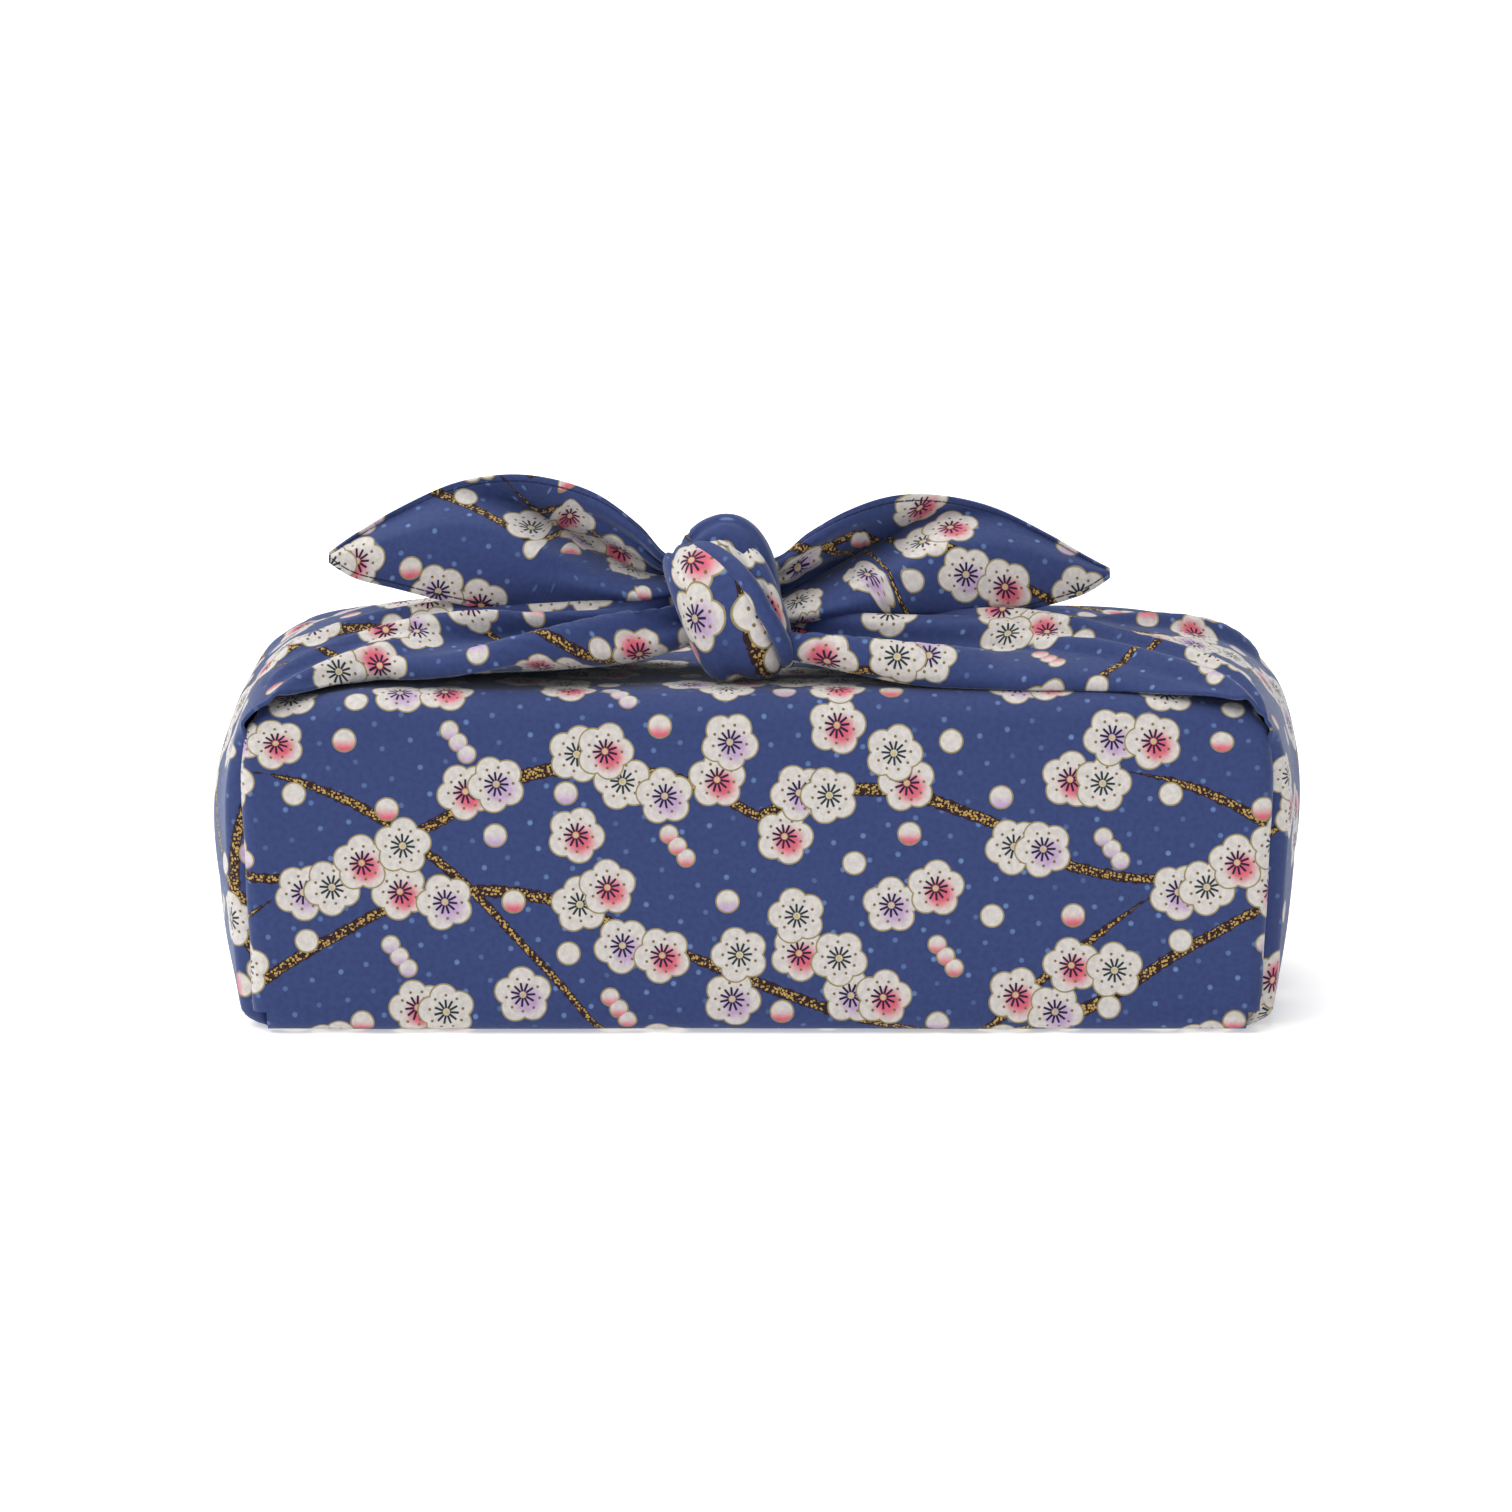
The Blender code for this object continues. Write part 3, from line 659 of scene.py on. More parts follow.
PETAL_RADIUS = 2.75
PETALS = 5
STAMENS = 11
ANTHERS = 9
ANTHER_RING = 3.15
ANTHER_TURN = 0.3
BLUSH_RIGHT = 0.8
BLUSH_DOWN = 1.0


def nearest_on_ring(tree, radius, angle, count, ring, shift):
    """How far a point lies from the nearest of count points on a ring, and how far beside it."""
    part = math.pi / count
    off = maths(tree, "WRAP", plus(tree, angle, shift), part, -part)
    beyond = minus(tree, times(tree, radius, maths(tree, "COSINE", off)), ring)
    beside = times(tree, radius, maths(tree, "SINE", off))
    return distance(tree, beyond, beside), maths(tree, "ABSOLUTE", beside)


def blossom_drawing():
    tree, given, result = new_group(
        "plum_blossom",
        [("Across", FLOAT), ("Up", FLOAT), ("Kind", FLOAT), ("Turn", FLOAT)],
        [("Colour", COLOUR), ("Mask", FLOAT)])
    across, up, kind = given["Across"], given["Up"], given["Kind"]
    radius = distance(tree, across, up)
    angle = plus(tree, maths(tree, "ARCTAN2", up, across), given["Turn"])
    to_petal, beside = nearest_on_ring(tree, radius, angle, PETALS, PETAL_RADIUS, 0.0)
    edge = minus(tree, to_petal, PETAL_RADIUS)
    blush = colour_steps(tree, kind, ((0.0, PETAL_WHITE), (0.375, LAVENDER), (0.625, PINK)))["Color"]
    from_blush = distance(tree, minus(tree, across, BLUSH_RIGHT), plus(tree, up, BLUSH_DOWN))
    colour = dye(tree, fade(tree, from_blush, 3.7, 1.2), PETAL_WHITE, blush)
    colour = dye(tree, fade(tree, edge, -0.42, -0.18), colour, RIM_GOLD)
    beside = nearest_on_ring(tree, radius, angle, STAMENS, 1.0, 0.0)[1]
    stamens = times(tree, fade(tree, radius, 0.55, 0.75), fade(tree, radius, 2.45, 2.2))
    stamens = times(tree, stamens, fade(tree, beside, 0.29, 0.15))
    ink = dye(tree, fade(tree, kind, 0.375, 0.376), STAMEN_GREEN, STAMEN_NAVY)
    colour = dye(tree, stamens, colour, ink)
    to_anther = nearest_on_ring(tree, radius, angle, ANTHERS, ANTHER_RING, ANTHER_TURN)[0]
    colour = dye(tree, fade(tree, to_anther, 0.36, 0.20), colour, ANTHER_GOLD)
    colour = dye(tree, fade(tree, radius, 0.60, 0.42), colour, HEART_YELLOW)
    tree.links.new(colour, result["Colour"])
    shown = times(tree, fade(tree, edge, 0.05, -0.05), fade(tree, kind, 0.05, 0.10))
    tree.links.new(shown, result["Mask"])
    return tree


BUD_TILT = 0.95
BUD_STEP = 2.75
BUD_RADIUS = 2.3
SMALLER_IN_ROW = 0.45


def bud_drawing():
    """A round bud, or three in a row for a kind above a half."""
    tree, given, result = new_group(
        "plum_bud",
        [("Across", FLOAT), ("Up", FLOAT), ("Kind", FLOAT)],
        [("Colour", COLOUR), ("Mask", FLOAT)])
    across, up, kind = given["Across"], given["Up"], given["Kind"]
    cosine, sine = math.cos(BUD_TILT), math.sin(BUD_TILT)
    row_of_three = maths(tree, "GREATER_THAN", kind, 0.5)
    along = minus(tree, times(tree, across, cosine), times(tree, up, sine))
    aside = plus(tree, times(tree, across, sine), times(tree, up, cosine))
    number = maths(tree, "ROUND", maths(tree, "DIVIDE", along, BUD_STEP))
    number = maths(tree, "MINIMUM", maths(tree, "MAXIMUM", number, -1.0), 1.0)
    shift = times(tree, number, times(tree, row_of_three, BUD_STEP))
    along = minus(tree, along, shift)
    size = minus(tree, BUD_RADIUS, times(tree, row_of_three, SMALLER_IN_ROW))
    edge = minus(tree, distance(tree, along, aside), size)
    height = minus(tree, times(tree, aside, cosine), times(tree, along, sine))
    blush = fade(tree, height, 0.6, -1.7)
    tint = minus(tree, kind, times(tree, row_of_three, 0.5))
    tint = colour_steps(tree, tint, ((0.0, PETAL_WHITE), (0.15, LAVENDER), (0.25, PINK)))["Color"]
    colour = dye(tree, blush, PETAL_WHITE, tint)
    colour = dye(tree, fade(tree, edge, -0.42, -0.20), colour, RIM_GOLD)
    tree.links.new(colour, result["Colour"])
    shown = times(tree, fade(tree, edge, 0.05, -0.05), fade(tree, kind, 0.03, 0.06))
    tree.links.new(shown, result["Mask"])
    return tree


# Each square of the charts is empty or holds a motif and the key, as on a number pad, towards which
# it is moved: pink, lavender or white blossoms in one chart, and single or triple buds in the other.
BLOSSOM_CHART = (
    "..  P8  W2  ..  ..  ..  L5  P4  ..  ..  ..  ..  W3  P1  ..  L5",
    "L6  W4  P9  ..  ..  P9  W7  ..  ..  ..  P6  L7  ..  W8  L4  P7",
    "P8  ..  ..  ..  W6  L4  ..  ..  P3  W5  ..  ..  P9  ..  ..  ..",
    "W3  ..  L5  P7  ..  ..  ..  L9  W7  P8  L4  ..  W6  P7  ..  ..",
    "P6  W5  ..  ..  ..  P3  W2  ..  ..  ..  ..  ..  ..  L8  P4  W6",
    "..  L9  P7  ..  P9  L5  ..  ..  ..  P6  W4  L9  ..  ..  ..  L8",
    "..  ..  ..  ..  W8  ..  ..  P5  L7  W9  P7  ..  ..  P5  W7  ..",
    "P9  W7  ..  ..  ..  ..  L6  W4  P8  ..  ..  ..  L6  P4  ..  ..",
    "W6  L5  P7  ..  P5  W4  ..  ..  ..  ..  ..  P9  W5  ..  L3  P6",
    "..  P8  ..  ..  L9  P7  ..  W5  ..  L5  P4  ..  P8  ..  ..  W8",
)
BLOSSOM_KINDS = {"W": 0.25, "L": 0.5, "P": 0.75}
BLOSSOM_MOVE = 2.3
BUD_CHART = (
    "..  ..  ..  w5  ..  ..  ..  ..  p5  ..  T5  ..  ..  ..  p7  ..",
    "..  ..  ..  ..  l5  ..  ..  w5  ..  p1  ..  ..  l5  ..  ..  ..",
    "..  w3  p9  ..  ..  ..  T5  ..  ..  ..  ..  l7  ..  ..  P5  ..",
    "..  ..  ..  ..  w1  p3  ..  ..  ..  ..  ..  p5  ..  ..  ..  l5",
    "..  ..  ..  P5  ..  ..  ..  w9  ..  T5  ..  ..  w5  ..  ..  ..",
    "p5  ..  ..  l1  ..  ..  w5  ..  p3  ..  ..  ..  ..  P5  ..  ..",
    "..  T5  ..  w5  ..  p9  ..  ..  ..  ..  ..  l5  ..  ..  ..  p5",
    "..  ..  ..  ..  P5  ..  ..  ..  ..  w7  ..  ..  ..  ..  l3  ..",
    "..  ..  ..  w9  ..  ..  ..  T5  ..  ..  p5  ..  ..  w1  ..  ..",
    "l5  ..  p5  ..  ..  ..  ..  ..  w3  ..  ..  ..  ..  T5  ..  ..",
)
BUD_KINDS = {"w": 0.1, "l": 0.2, "p": 0.3, "t": 0.6, "T": 0.7, "P": 0.8}
BUD_MOVE = 2.4
MOST_MOVED = 4.0


def chart_reader(name, chart, kinds, move):
    """A group that finds the motif of a square: its place from the square's centre, kind and turn."""
    tree, given, result = new_group(
        name, [("Column", FLOAT), ("Row", FLOAT)],
        [("Across", FLOAT), ("Up", FLOAT), ("Kind", FLOAT), ("Turn", FLOAT)])
    column = maths(tree, "FLOORED_MODULO", given["Column"], float(CHART_COLUMNS))
    row = maths(tree, "FLOORED_MODULO", given["Row"], float(CHART_ROWS))
    odd_row = times(tree, maths(tree, "FLOORED_MODULO", row, 2.0), float(CHART_COLUMNS))
    spot = plus(tree, plus(tree, column, 0.5), odd_row)
    spot = maths(tree, "DIVIDE", spot, 2.0 * CHART_COLUMNS)
    colour = alpha = None
    for pair in range(CHART_ROWS // 2):
        entries = chart[CHART_ROWS - 1 - 2 * pair].split() + chart[CHART_ROWS - 2 - 2 * pair].split()
        steps = []
        for number, entry in enumerate(entries):
            place = (0.5, 0.5, 0.0, 0.0)
            if entry != "..":
                key = int(entry[1]) - 1
                wander = 0.5 * math.sin(number * 5.3 + pair * 2.1)
                wander_up = 0.5 * math.cos(number * 3.7 + pair * 4.9)
                place = (0.5 + (move * (key % 3 - 1) + wander) / (2 * MOST_MOVED),
                         0.5 + (move * (key // 3 - 1) + wander_up) / (2 * MOST_MOVED),
                         kinds[entry[0]], (number * 0.618 + pair * 0.37) % 1.0)
            steps.append((number / len(entries), place))
        found = colour_steps(tree, spot, steps)
        if colour is None:
            colour, alpha = found["Color"], found["Alpha"]
            continue
        this_pair = maths(tree, "GREATER_THAN", row, 2 * pair - 0.5)
        colour = dye(tree, this_pair, colour, found["Color"])
        below = times(tree, alpha, minus(tree, 1.0, this_pair))
        alpha = plus(tree, below, times(tree, found["Alpha"], this_pair))
    parts = parts_of(tree, "Color", colour)
    for part, label in zip(parts, ("Across", "Up")):
        moved = minus(tree, part, 0.5)
        tree.links.new(times(tree, moved, 2 * MOST_MOVED), result[label])
    tree.links.new(parts[2], result["Kind"])
    tree.links.new(times(tree, alpha, 2 * math.pi), result["Turn"])
    return tree


# Boughs of the repeat: height of the middle line and thickness at nine places across it, in squares
# and in millimetres. A bough is left out where its thickness is 0.
Bough = namedtuple("Bough", "heights thicknesses")
BOUGHS = (
    Bough((2.0, 1.3, 1.2, 1.9, 2.9, 2.9, 1.9, 1.4, 2.0), (2.1, 2.4, 2.0, 2.2, 2.6, 2.3, 2.1, 2.4, 2.1)),
    Bough((5.0, 4.3, 3.9, 4.5, 5.7, 6.6, 6.6, 5.8, 5.0), (2.4, 2.1, 2.4, 2.6, 2.4, 2.1, 2.4, 2.1, 2.4)),
    Bough((8.1, 8.6, 8.1, 7.1, 7.0, 7.9, 8.9, 8.9, 8.1), (2.1, 2.4, 2.4, 2.1, 1.9, 2.4, 2.6, 2.4, 2.1)),
    Bough((0.6, 2.0, 3.9, 5.7, 7.0, 7.6, 7.8, 7.8, 7.8), (0.0, 2.1, 2.4, 2.1, 0.0, 0.0, 0.0, 0.0, 0.0)),
    Bough((9.0, 9.0, 9.0, 9.0, 8.6, 7.4, 5.4, 3.2, 1.8), (0.0, 0.0, 0.0, 0.0, 1.9, 2.4, 2.2, 2.1, 0.0)),
)
MOST_THICK = 3.0

# A bough's half width is a share of its thickness less a taper, so that its ends run to a point.
BOUGH_SHARE = 0.6
BOUGH_TAPER = 0.2
BOUGH_RAGGED = 0.8
FLECKS_PER_MILLIMETRE = 1.7
DOT_SPACING = 5.3
DOT_SCATTER = 0.16
DOT_ROWS_TURN = math.radians(-18)
DOT_FAINTEST = 0.3


def value_curve(tree, value, heights, most):
    node = tree.nodes.new("ShaderNodeFloatCurve")
    curve = node.mapping.curves[0]
    last = len(heights) - 1
    curve.points[0].location = (0.0, heights[0] / most)
    curve.points[1].location = (1.0, heights[-1] / most)
    for number in range(1, last):
        curve.points.new(number / last, heights[number] / most)
    node.mapping.update()
    tree.links.new(value, node.inputs["Value"])
    return times(tree, node.outputs[0], most)


def plum_print():
    blossom = blossom_drawing()
    bud = bud_drawing()
    blossoms = chart_reader("blossom_chart", BLOSSOM_CHART, BLOSSOM_KINDS, BLOSSOM_MOVE)
    buds = chart_reader("bud_chart", BUD_CHART, BUD_KINDS, BUD_MOVE)
    tree, given, result = new_group("plum_print", [("Flat Cloth", VECTOR)], [("Colour", COLOUR)])
    flat = scaled(tree, given["Flat Cloth"], MILLIMETRES)
    x, y = parts_of(tree, "XYZ", flat)[:2]

    turned = tree.nodes.new("ShaderNodeVectorRotate")
    turned.rotation_type = "Z_AXIS"
    turned.inputs["Angle"].default_value = DOT_ROWS_TURN
    tree.links.new(flat, turned.inputs["Vector"])
    dots = tree.nodes.new("ShaderNodeTexVoronoi")
    dots.voronoi_dimensions = "2D"
    dots.inputs["Scale"].default_value = 1 / DOT_SPACING
    dots.inputs["Randomness"].default_value = DOT_SCATTER
    tree.links.new(turned.outputs[0], dots.inputs["Vector"])
    dot_tone = parts_of(tree, "Color", dots.outputs["Color"])[0]
    strength = plus(tree, times(tree, dot_tone, 1 - DOT_FAINTEST), DOT_FAINTEST)
    dot = times(tree, fade(tree, dots.outputs["Distance"], 0.125, 0.050), strength)
    colour = dye(tree, dot, BLUE, DOT_BLUE)

    round_repeat = maths(tree, "FRACT", maths(tree, "DIVIDE", x, CHART_COLUMNS * SQUARE))
    nearest = None
    for bough in BOUGHS:
        middle = value_curve(tree, round_repeat, bough.heights, float(CHART_ROWS))
        off = minus(tree, y, times(tree, middle, SQUARE))
        half_repeat = CHART_ROWS * SQUARE / 2
        off = maths(tree, "ABSOLUTE", maths(tree, "WRAP", off, half_repeat, -half_repeat))
        thickness = value_curve(tree, round_repeat, bough.thicknesses, MOST_THICK)
        edge = minus(tree, off, minus(tree, times(tree, thickness, BOUGH_SHARE), BOUGH_TAPER))
        nearest = edge if nearest is None else maths(tree, "MINIMUM", nearest, edge)
    rough = tree.nodes.new("ShaderNodeTexNoise")
    rough.noise_dimensions = "2D"
    rough.inputs["Scale"].default_value = 0.9
    rough.inputs["Detail"].default_value = 1.0
    tree.links.new(flat, rough.inputs["Vector"])
    ragged = times(tree, minus(tree, rough.outputs[0], 0.5), BOUGH_RAGGED)
    flecks = tree.nodes.new("ShaderNodeTexVoronoi")
    flecks.voronoi_dimensions = "2D"
    flecks.distance = "CHEBYCHEV"
    flecks.inputs["Scale"].default_value = FLECKS_PER_MILLIMETRE
    flecks.inputs["Randomness"].default_value = 0.9
    tree.links.new(flat, flecks.inputs["Vector"])
    gold = fade(tree, flecks.outputs["Distance"], 0.40, 0.30)
    gold = times(tree, gold, fade(tree, rough.outputs[0], 0.38, 0.48))
    gold = times(tree, gold, fade(tree, plus(tree, nearest, ragged), -0.15, -0.45))
    colour = dye(tree, fade(tree, plus(tree, nearest, ragged), 0.08, -0.08), colour,
                 dye(tree, gold, BOUGH_BROWN, BOUGH_GOLD))

    column_place = maths(tree, "DIVIDE", x, SQUARE)
    row_place = maths(tree, "DIVIDE", y, SQUARE)

    def motif(colour, chart, drawing, column_shift, row_shift, with_turn):
        column = maths(tree, "FLOOR", plus(tree, column_place, column_shift))
        row = maths(tree, "FLOOR", plus(tree, row_place, row_shift))
        found = use_group(tree, chart, Column=column, Row=row)
        places = []
        for place, number, label in ((column_place, column, "Across"), (row_place, row, "Up")):
            from_centre = minus(tree, minus(tree, place, number), 0.5)
            places.append(minus(tree, times(tree, from_centre, SQUARE), found[label]))
        values = {"Across": places[0], "Up": places[1], "Kind": found["Kind"]}
        if with_turn:
            values["Turn"] = found["Turn"]
        drawn = use_group(tree, drawing, **values)
        return dye(tree, drawn["Mask"], colour, drawn["Colour"])

    colour = motif(colour, buds, bud, 0.0, 0.0, False)
    for row_shift in (-0.5, 0.5):
        for column_shift in (-0.5, 0.5):
            colour = motif(colour, blossoms, blossom, column_shift, row_shift, True)
    tree.links.new(colour, result["Colour"])
    return tree


THREADS_PER_METRE = 2600.0
SLUBS_PER_METRE = 900.0


def plain_weave():
    """The threads of the cotton: their relief, and the faint unevenness of the dye."""
    tree, given, result = new_group(
        "plain_weave", [("Flat Cloth", VECTOR), ("Threads per Metre", FLOAT)],
        [("Height", FLOAT), ("Shade", FLOAT)])
    waves = []
    for way in parts_of(tree, "XYZ", given["Flat Cloth"])[:2]:
        turns = times(tree, way, given["Threads per Metre"])
        waves.append(maths(tree, "SINE", times(tree, turns, 2 * math.pi)))
    weave = times(tree, waves[0], waves[1])
    slub = tree.nodes.new("ShaderNodeTexNoise")
    slub.noise_dimensions = "2D"
    slub.inputs["Scale"].default_value = SLUBS_PER_METRE
    slub.inputs["Detail"].default_value = 3.0
    tree.links.new(given["Flat Cloth"], slub.inputs["Vector"])
    height = plus(tree, times(tree, weave, 0.5), slub.outputs[0])
    tree.links.new(height, result["Height"])
    tree.links.new(fade(tree, slub.outputs[0], 0.3, 0.7), result["Shade"])
    return tree


THREAD_NAVY = (0.010, 0.012, 0.030)
HEM_WIDTH = 1.9
STITCH_LINE = 1.15
STITCH_LENGTH = 1.8


def hem_drawing():
    """A narrow turned hem: the step of its fold, and a row of machine stitches along it."""
    tree, given, result = new_group(
        "stitched_hem", [("From Hem", FLOAT), ("Along", FLOAT)], [("Height", FLOAT), ("Thread", FLOAT)])
    inside = times(tree, given["From Hem"], MILLIMETRES)
    along = times(tree, given["Along"], MILLIMETRES / STITCH_LENGTH)
    off = maths(tree, "ABSOLUTE", minus(tree, inside, STITCH_LINE))
    seam = fade(tree, off, 0.24, 0.10)
    stitch = fade(tree, maths(tree, "ABSOLUTE", maths(tree, "WRAP", along, 0.5, -0.5)), 0.46, 0.38)
    step = times(tree, fade(tree, inside, HEM_WIDTH, HEM_WIDTH - 0.25), 3.0)
    dent = times(tree, fade(tree, off, 0.5, 0.0), 2.0)
    tree.links.new(minus(tree, step, dent), result["Height"])
    thread = times(tree, seam, plus(tree, times(tree, stitch, 0.45), 0.45))
    tree.links.new(thread, result["Thread"])
    return tree


printed = plum_print()
woven = plain_weave()
stitched_hem = hem_drawing()

COTTON_FINISH = {
    "Roughness": 0.80,
    "Specular IOR Level": 0.25,
    "Sheen Weight": 0.35,
    "Sheen Roughness": 0.35,
    "Sheen Tint": (0.80, 0.88, 1.0, 1.0),
}
DYE_LEAST = 0.92
DYE_RANGE = 0.16
RELIEF_STRENGTH = 0.35
RELIEF_DEPTH = 0.00012


def printed_cotton(name, print_shift, hemmed=False):
    material = bpy.data.materials.new(name)
    material.use_nodes = True
    tree = material.node_tree
    shader = tree.nodes["Principled BSDF"]
    flat = tree.nodes.new("ShaderNodeUVMap")
    flat.uv_map = "flat_cloth"
    place = tree.nodes.new("ShaderNodeMapping")
    place.inputs["Location"].default_value = (print_shift[0], print_shift[1], 0.0)
    tree.links.new(flat.outputs[0], place.inputs["Vector"])
    pattern = use_group(tree, printed, Flat_Cloth=place.outputs[0])
    threads = use_group(tree, woven, Flat_Cloth=place.outputs[0], Threads_per_Metre=THREADS_PER_METRE)
    shade = plus(tree, times(tree, threads["Shade"], DYE_RANGE), DYE_LEAST)
    toned = scaled(tree, pattern["Colour"], shade)
    tree.links.new(toned, shader.inputs["Base Color"])
    for label, value in COTTON_FINISH.items():
        shader.inputs[label].default_value = value
    relief = tree.nodes.new("ShaderNodeBump")
    relief.inputs["Strength"].default_value = RELIEF_STRENGTH
    relief.inputs["Distance"].default_value = RELIEF_DEPTH
    height = threads["Height"]
    if hemmed:
        from_hem = tree.nodes.new("ShaderNodeAttribute")
        from_hem.attribute_name = "from_hem"
        along = parts_of(tree, "XYZ", flat.outputs[0])[0]
        hem = use_group(tree, stitched_hem, From_Hem=from_hem.outputs["Fac"], Along=along)
        tree.links.new(dye(tree, hem["Thread"], toned, THREAD_NAVY), shader.inputs["Base Color"])
        height = plus(tree, height, hem["Height"])
    tree.links.new(height, relief.inputs["Height"])
    tree.links.new(relief.outputs[0], shader.inputs["Normal"])
    return material


wrapped_cloth.data.materials.append(printed_cotton("printed_cotton_wrap", (0.0, 0.0)))
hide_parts("furoshiki_cloth")
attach(wrapped_cloth, "root")


# The free ends: the two corners of the cloth beyond the knot. Each stands up as a leaf-shaped sheet,
# hollowed along a valley from the knot, with its narrow hem stitched along both edges.
EarRow = namedtuple("EarRow", "x z_low z_valley z_high y_low y_valley y_high")
LEFT_EAR = (
    EarRow(-0.0080, 0.0780, 0.0810, 0.0860, -0.0170, -0.0140, -0.0160),
    EarRow(-0.0165, 0.0782, 0.0812, 0.0866, -0.0190, -0.0130, -0.0180),
    EarRow(-0.0225, 0.0762, 0.0822, 0.0930, -0.0200, -0.0110, -0.0190),
    EarRow(-0.0300, 0.0762, 0.0856, 0.0985, -0.0200, -0.0090, -0.0180),
    EarRow(-0.0390, 0.0768, 0.0912, 0.1012, -0.0195, -0.0085, -0.0150),
    EarRow(-0.0480, 0.0765, 0.0972, 0.1016, -0.0185, -0.0112, -0.0122),
    EarRow(-0.0580, 0.0780, 0.0984, 0.0996, -0.0170, -0.0128, -0.0108),
    EarRow(-0.0680, 0.0803, 0.0941, 0.0950, -0.0155, -0.0130, -0.0110),
    EarRow(-0.0760, 0.0822, 0.0897, 0.0903, -0.0145, -0.0138, -0.0120),
    EarRow(-0.0810, 0.0850, 0.0864, 0.0867, -0.0135, -0.0140, -0.0130),
)
RIGHT_EAR = (
    EarRow(-0.0020, 0.0735, 0.0775, 0.0850, -0.0170, -0.0140, -0.0160),
    EarRow(0.0045, 0.0726, 0.0780, 0.0868, -0.0200, -0.0130, -0.0180),
    EarRow(0.0100, 0.0725, 0.0800, 0.0915, -0.0210, -0.0110, -0.0190),
    EarRow(0.0175, 0.0730, 0.0840, 0.0955, -0.0210, -0.0090, -0.0170),
    EarRow(0.0260, 0.0738, 0.0889, 0.0978, -0.0200, -0.0090, -0.0140),
    EarRow(0.0350, 0.0740, 0.0945, 0.0976, -0.0190, -0.0116, -0.0122),
    EarRow(0.0450, 0.0752, 0.0941, 0.0951, -0.0175, -0.0128, -0.0112),
    EarRow(0.0550, 0.0772, 0.0896, 0.0902, -0.0155, -0.0132, -0.0115),
    EarRow(0.0620, 0.0792, 0.0857, 0.0862, -0.0140, -0.0136, -0.0120),
    EarRow(0.0668, 0.0820, 0.0833, 0.0836, -0.0130, -0.0135, -0.0125),
)
EAR_STEPS = 108
EAR_COLUMNS = 64
PLEATS = 4.5
PLEAT_DEPTH = 0.0011
LOBE_PUFF = 0.0022
VALLEY_SET_BACK = 0.0022
VALLEY_HIGHEST = 0.94
LOBE_LIP = 0.0018
LIP_WIDTH = 0.10
LIP_STOPS = (0.35, 0.75)
PLEATS_STOP = (0.12, 0.55)
TURN_IN_FROM = 0.70
LOBE_CLOSES = 1.15
FULL_NEAR_KNOT = 0.6


def ear_depth(row, across, valley, along):
    """How far forward or back a free end lies: a puffed lower lobe that turns in at the valley."""
    if across < valley:
        up_lobe = (across + 1) / (valley + 1)
        turned_in = ease(up_lobe, TURN_IN_FROM, 1.0)
        rounded = math.sin(math.pi * min(up_lobe * LOBE_CLOSES, 1.0))
        puff = LOBE_PUFF * rounded * math.sin(math.pi * along ** FULL_NEAR_KNOT)
        y = row.y_low + (row.y_valley + VALLEY_SET_BACK - row.y_low) * turned_in - puff
    else:
        up_panel = (across - valley) / (1 - valley)
        out = ease(up_panel, -0.2, 1.0)
        y = row.y_valley + VALLEY_SET_BACK + (row.y_high - row.y_valley - VALLEY_SET_BACK) * out
    pleat = PLEAT_DEPTH * math.sin(across * PLEATS * math.pi) * (1 - ease(along, *PLEATS_STOP))
    return y + pleat


def build_ear(name, rows):
    bm = bmesh.new()
    bmesh.ops.create_grid(bm, x_segments=EAR_STEPS, y_segments=EAR_COLUMNS, size=1.0)
    hem = bm.verts.layers.float.new("from_hem")
    grid = {}
    for vertex in bm.verts:
        step = round((vertex.co.x + 1) / 2 * EAR_STEPS)
        column = round((vertex.co.y + 1) / 2 * EAR_COLUMNS)
        grid[step, column] = vertex
        along = (vertex.co.x + 1) / 2
        across = vertex.co.y
        row = smooth_row(rows, along * (len(rows) - 1))
        z_middle = (row.z_low + row.z_high) / 2
        valley = min((row.z_valley - z_middle) / (row.z_high - z_middle), VALLEY_HIGHEST)
        z = three_point_curve(row.z_low, z_middle, row.z_high, across)
        from_lip = (across - valley + LIP_WIDTH) / LIP_WIDTH
        lip = LOBE_LIP * math.exp(-from_lip ** 2) * (1 - ease(valley, *LIP_STOPS))
        z += lip * math.sin(math.pi * along ** FULL_NEAR_KNOT)
        vertex.co = Vector((row.x, ear_depth(row, across, valley, along), z))
    middle = EAR_COLUMNS // 2
    places = {}
    reach = 0.0
    for step in range(EAR_STEPS + 1):
        if step:
            gone = grid[step, middle].co - grid[step - 1, middle].co
            reach += math.hypot(gone.x, gone.z)
        places[grid[step, middle]] = (reach, 0.0)
        widths = []
        for way in (-1, 1):
            out = 0.0
            for column in range(middle + way, middle + way * (middle + 1), way):
                out += (grid[step, column].co - grid[step, column - way].co).length
                places[grid[step, column]] = (reach, way * out)
            widths.append(out)
        for column in range(EAR_COLUMNS + 1):
            out = places[grid[step, column]][1]
            grid[step, column][hem] = widths[0] + out if out < 0 else widths[1] - out
    lay_flat_cloth(bm, places)
    ear = cloth_object(name, bm)
    make_sheet(ear)
    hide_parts("furoshiki_cloth")
    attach(ear, "root")
    return ear


left_ear = build_ear("left_free_end", LEFT_EAR)
right_ear = build_ear("right_free_end", RIGHT_EAR)
left_ear.data.materials.append(printed_cotton("printed_cotton_left_end", (0.030, 0.047), True))
right_ear.data.materials.append(printed_cotton("printed_cotton_right_end", (0.095, 0.060), True))


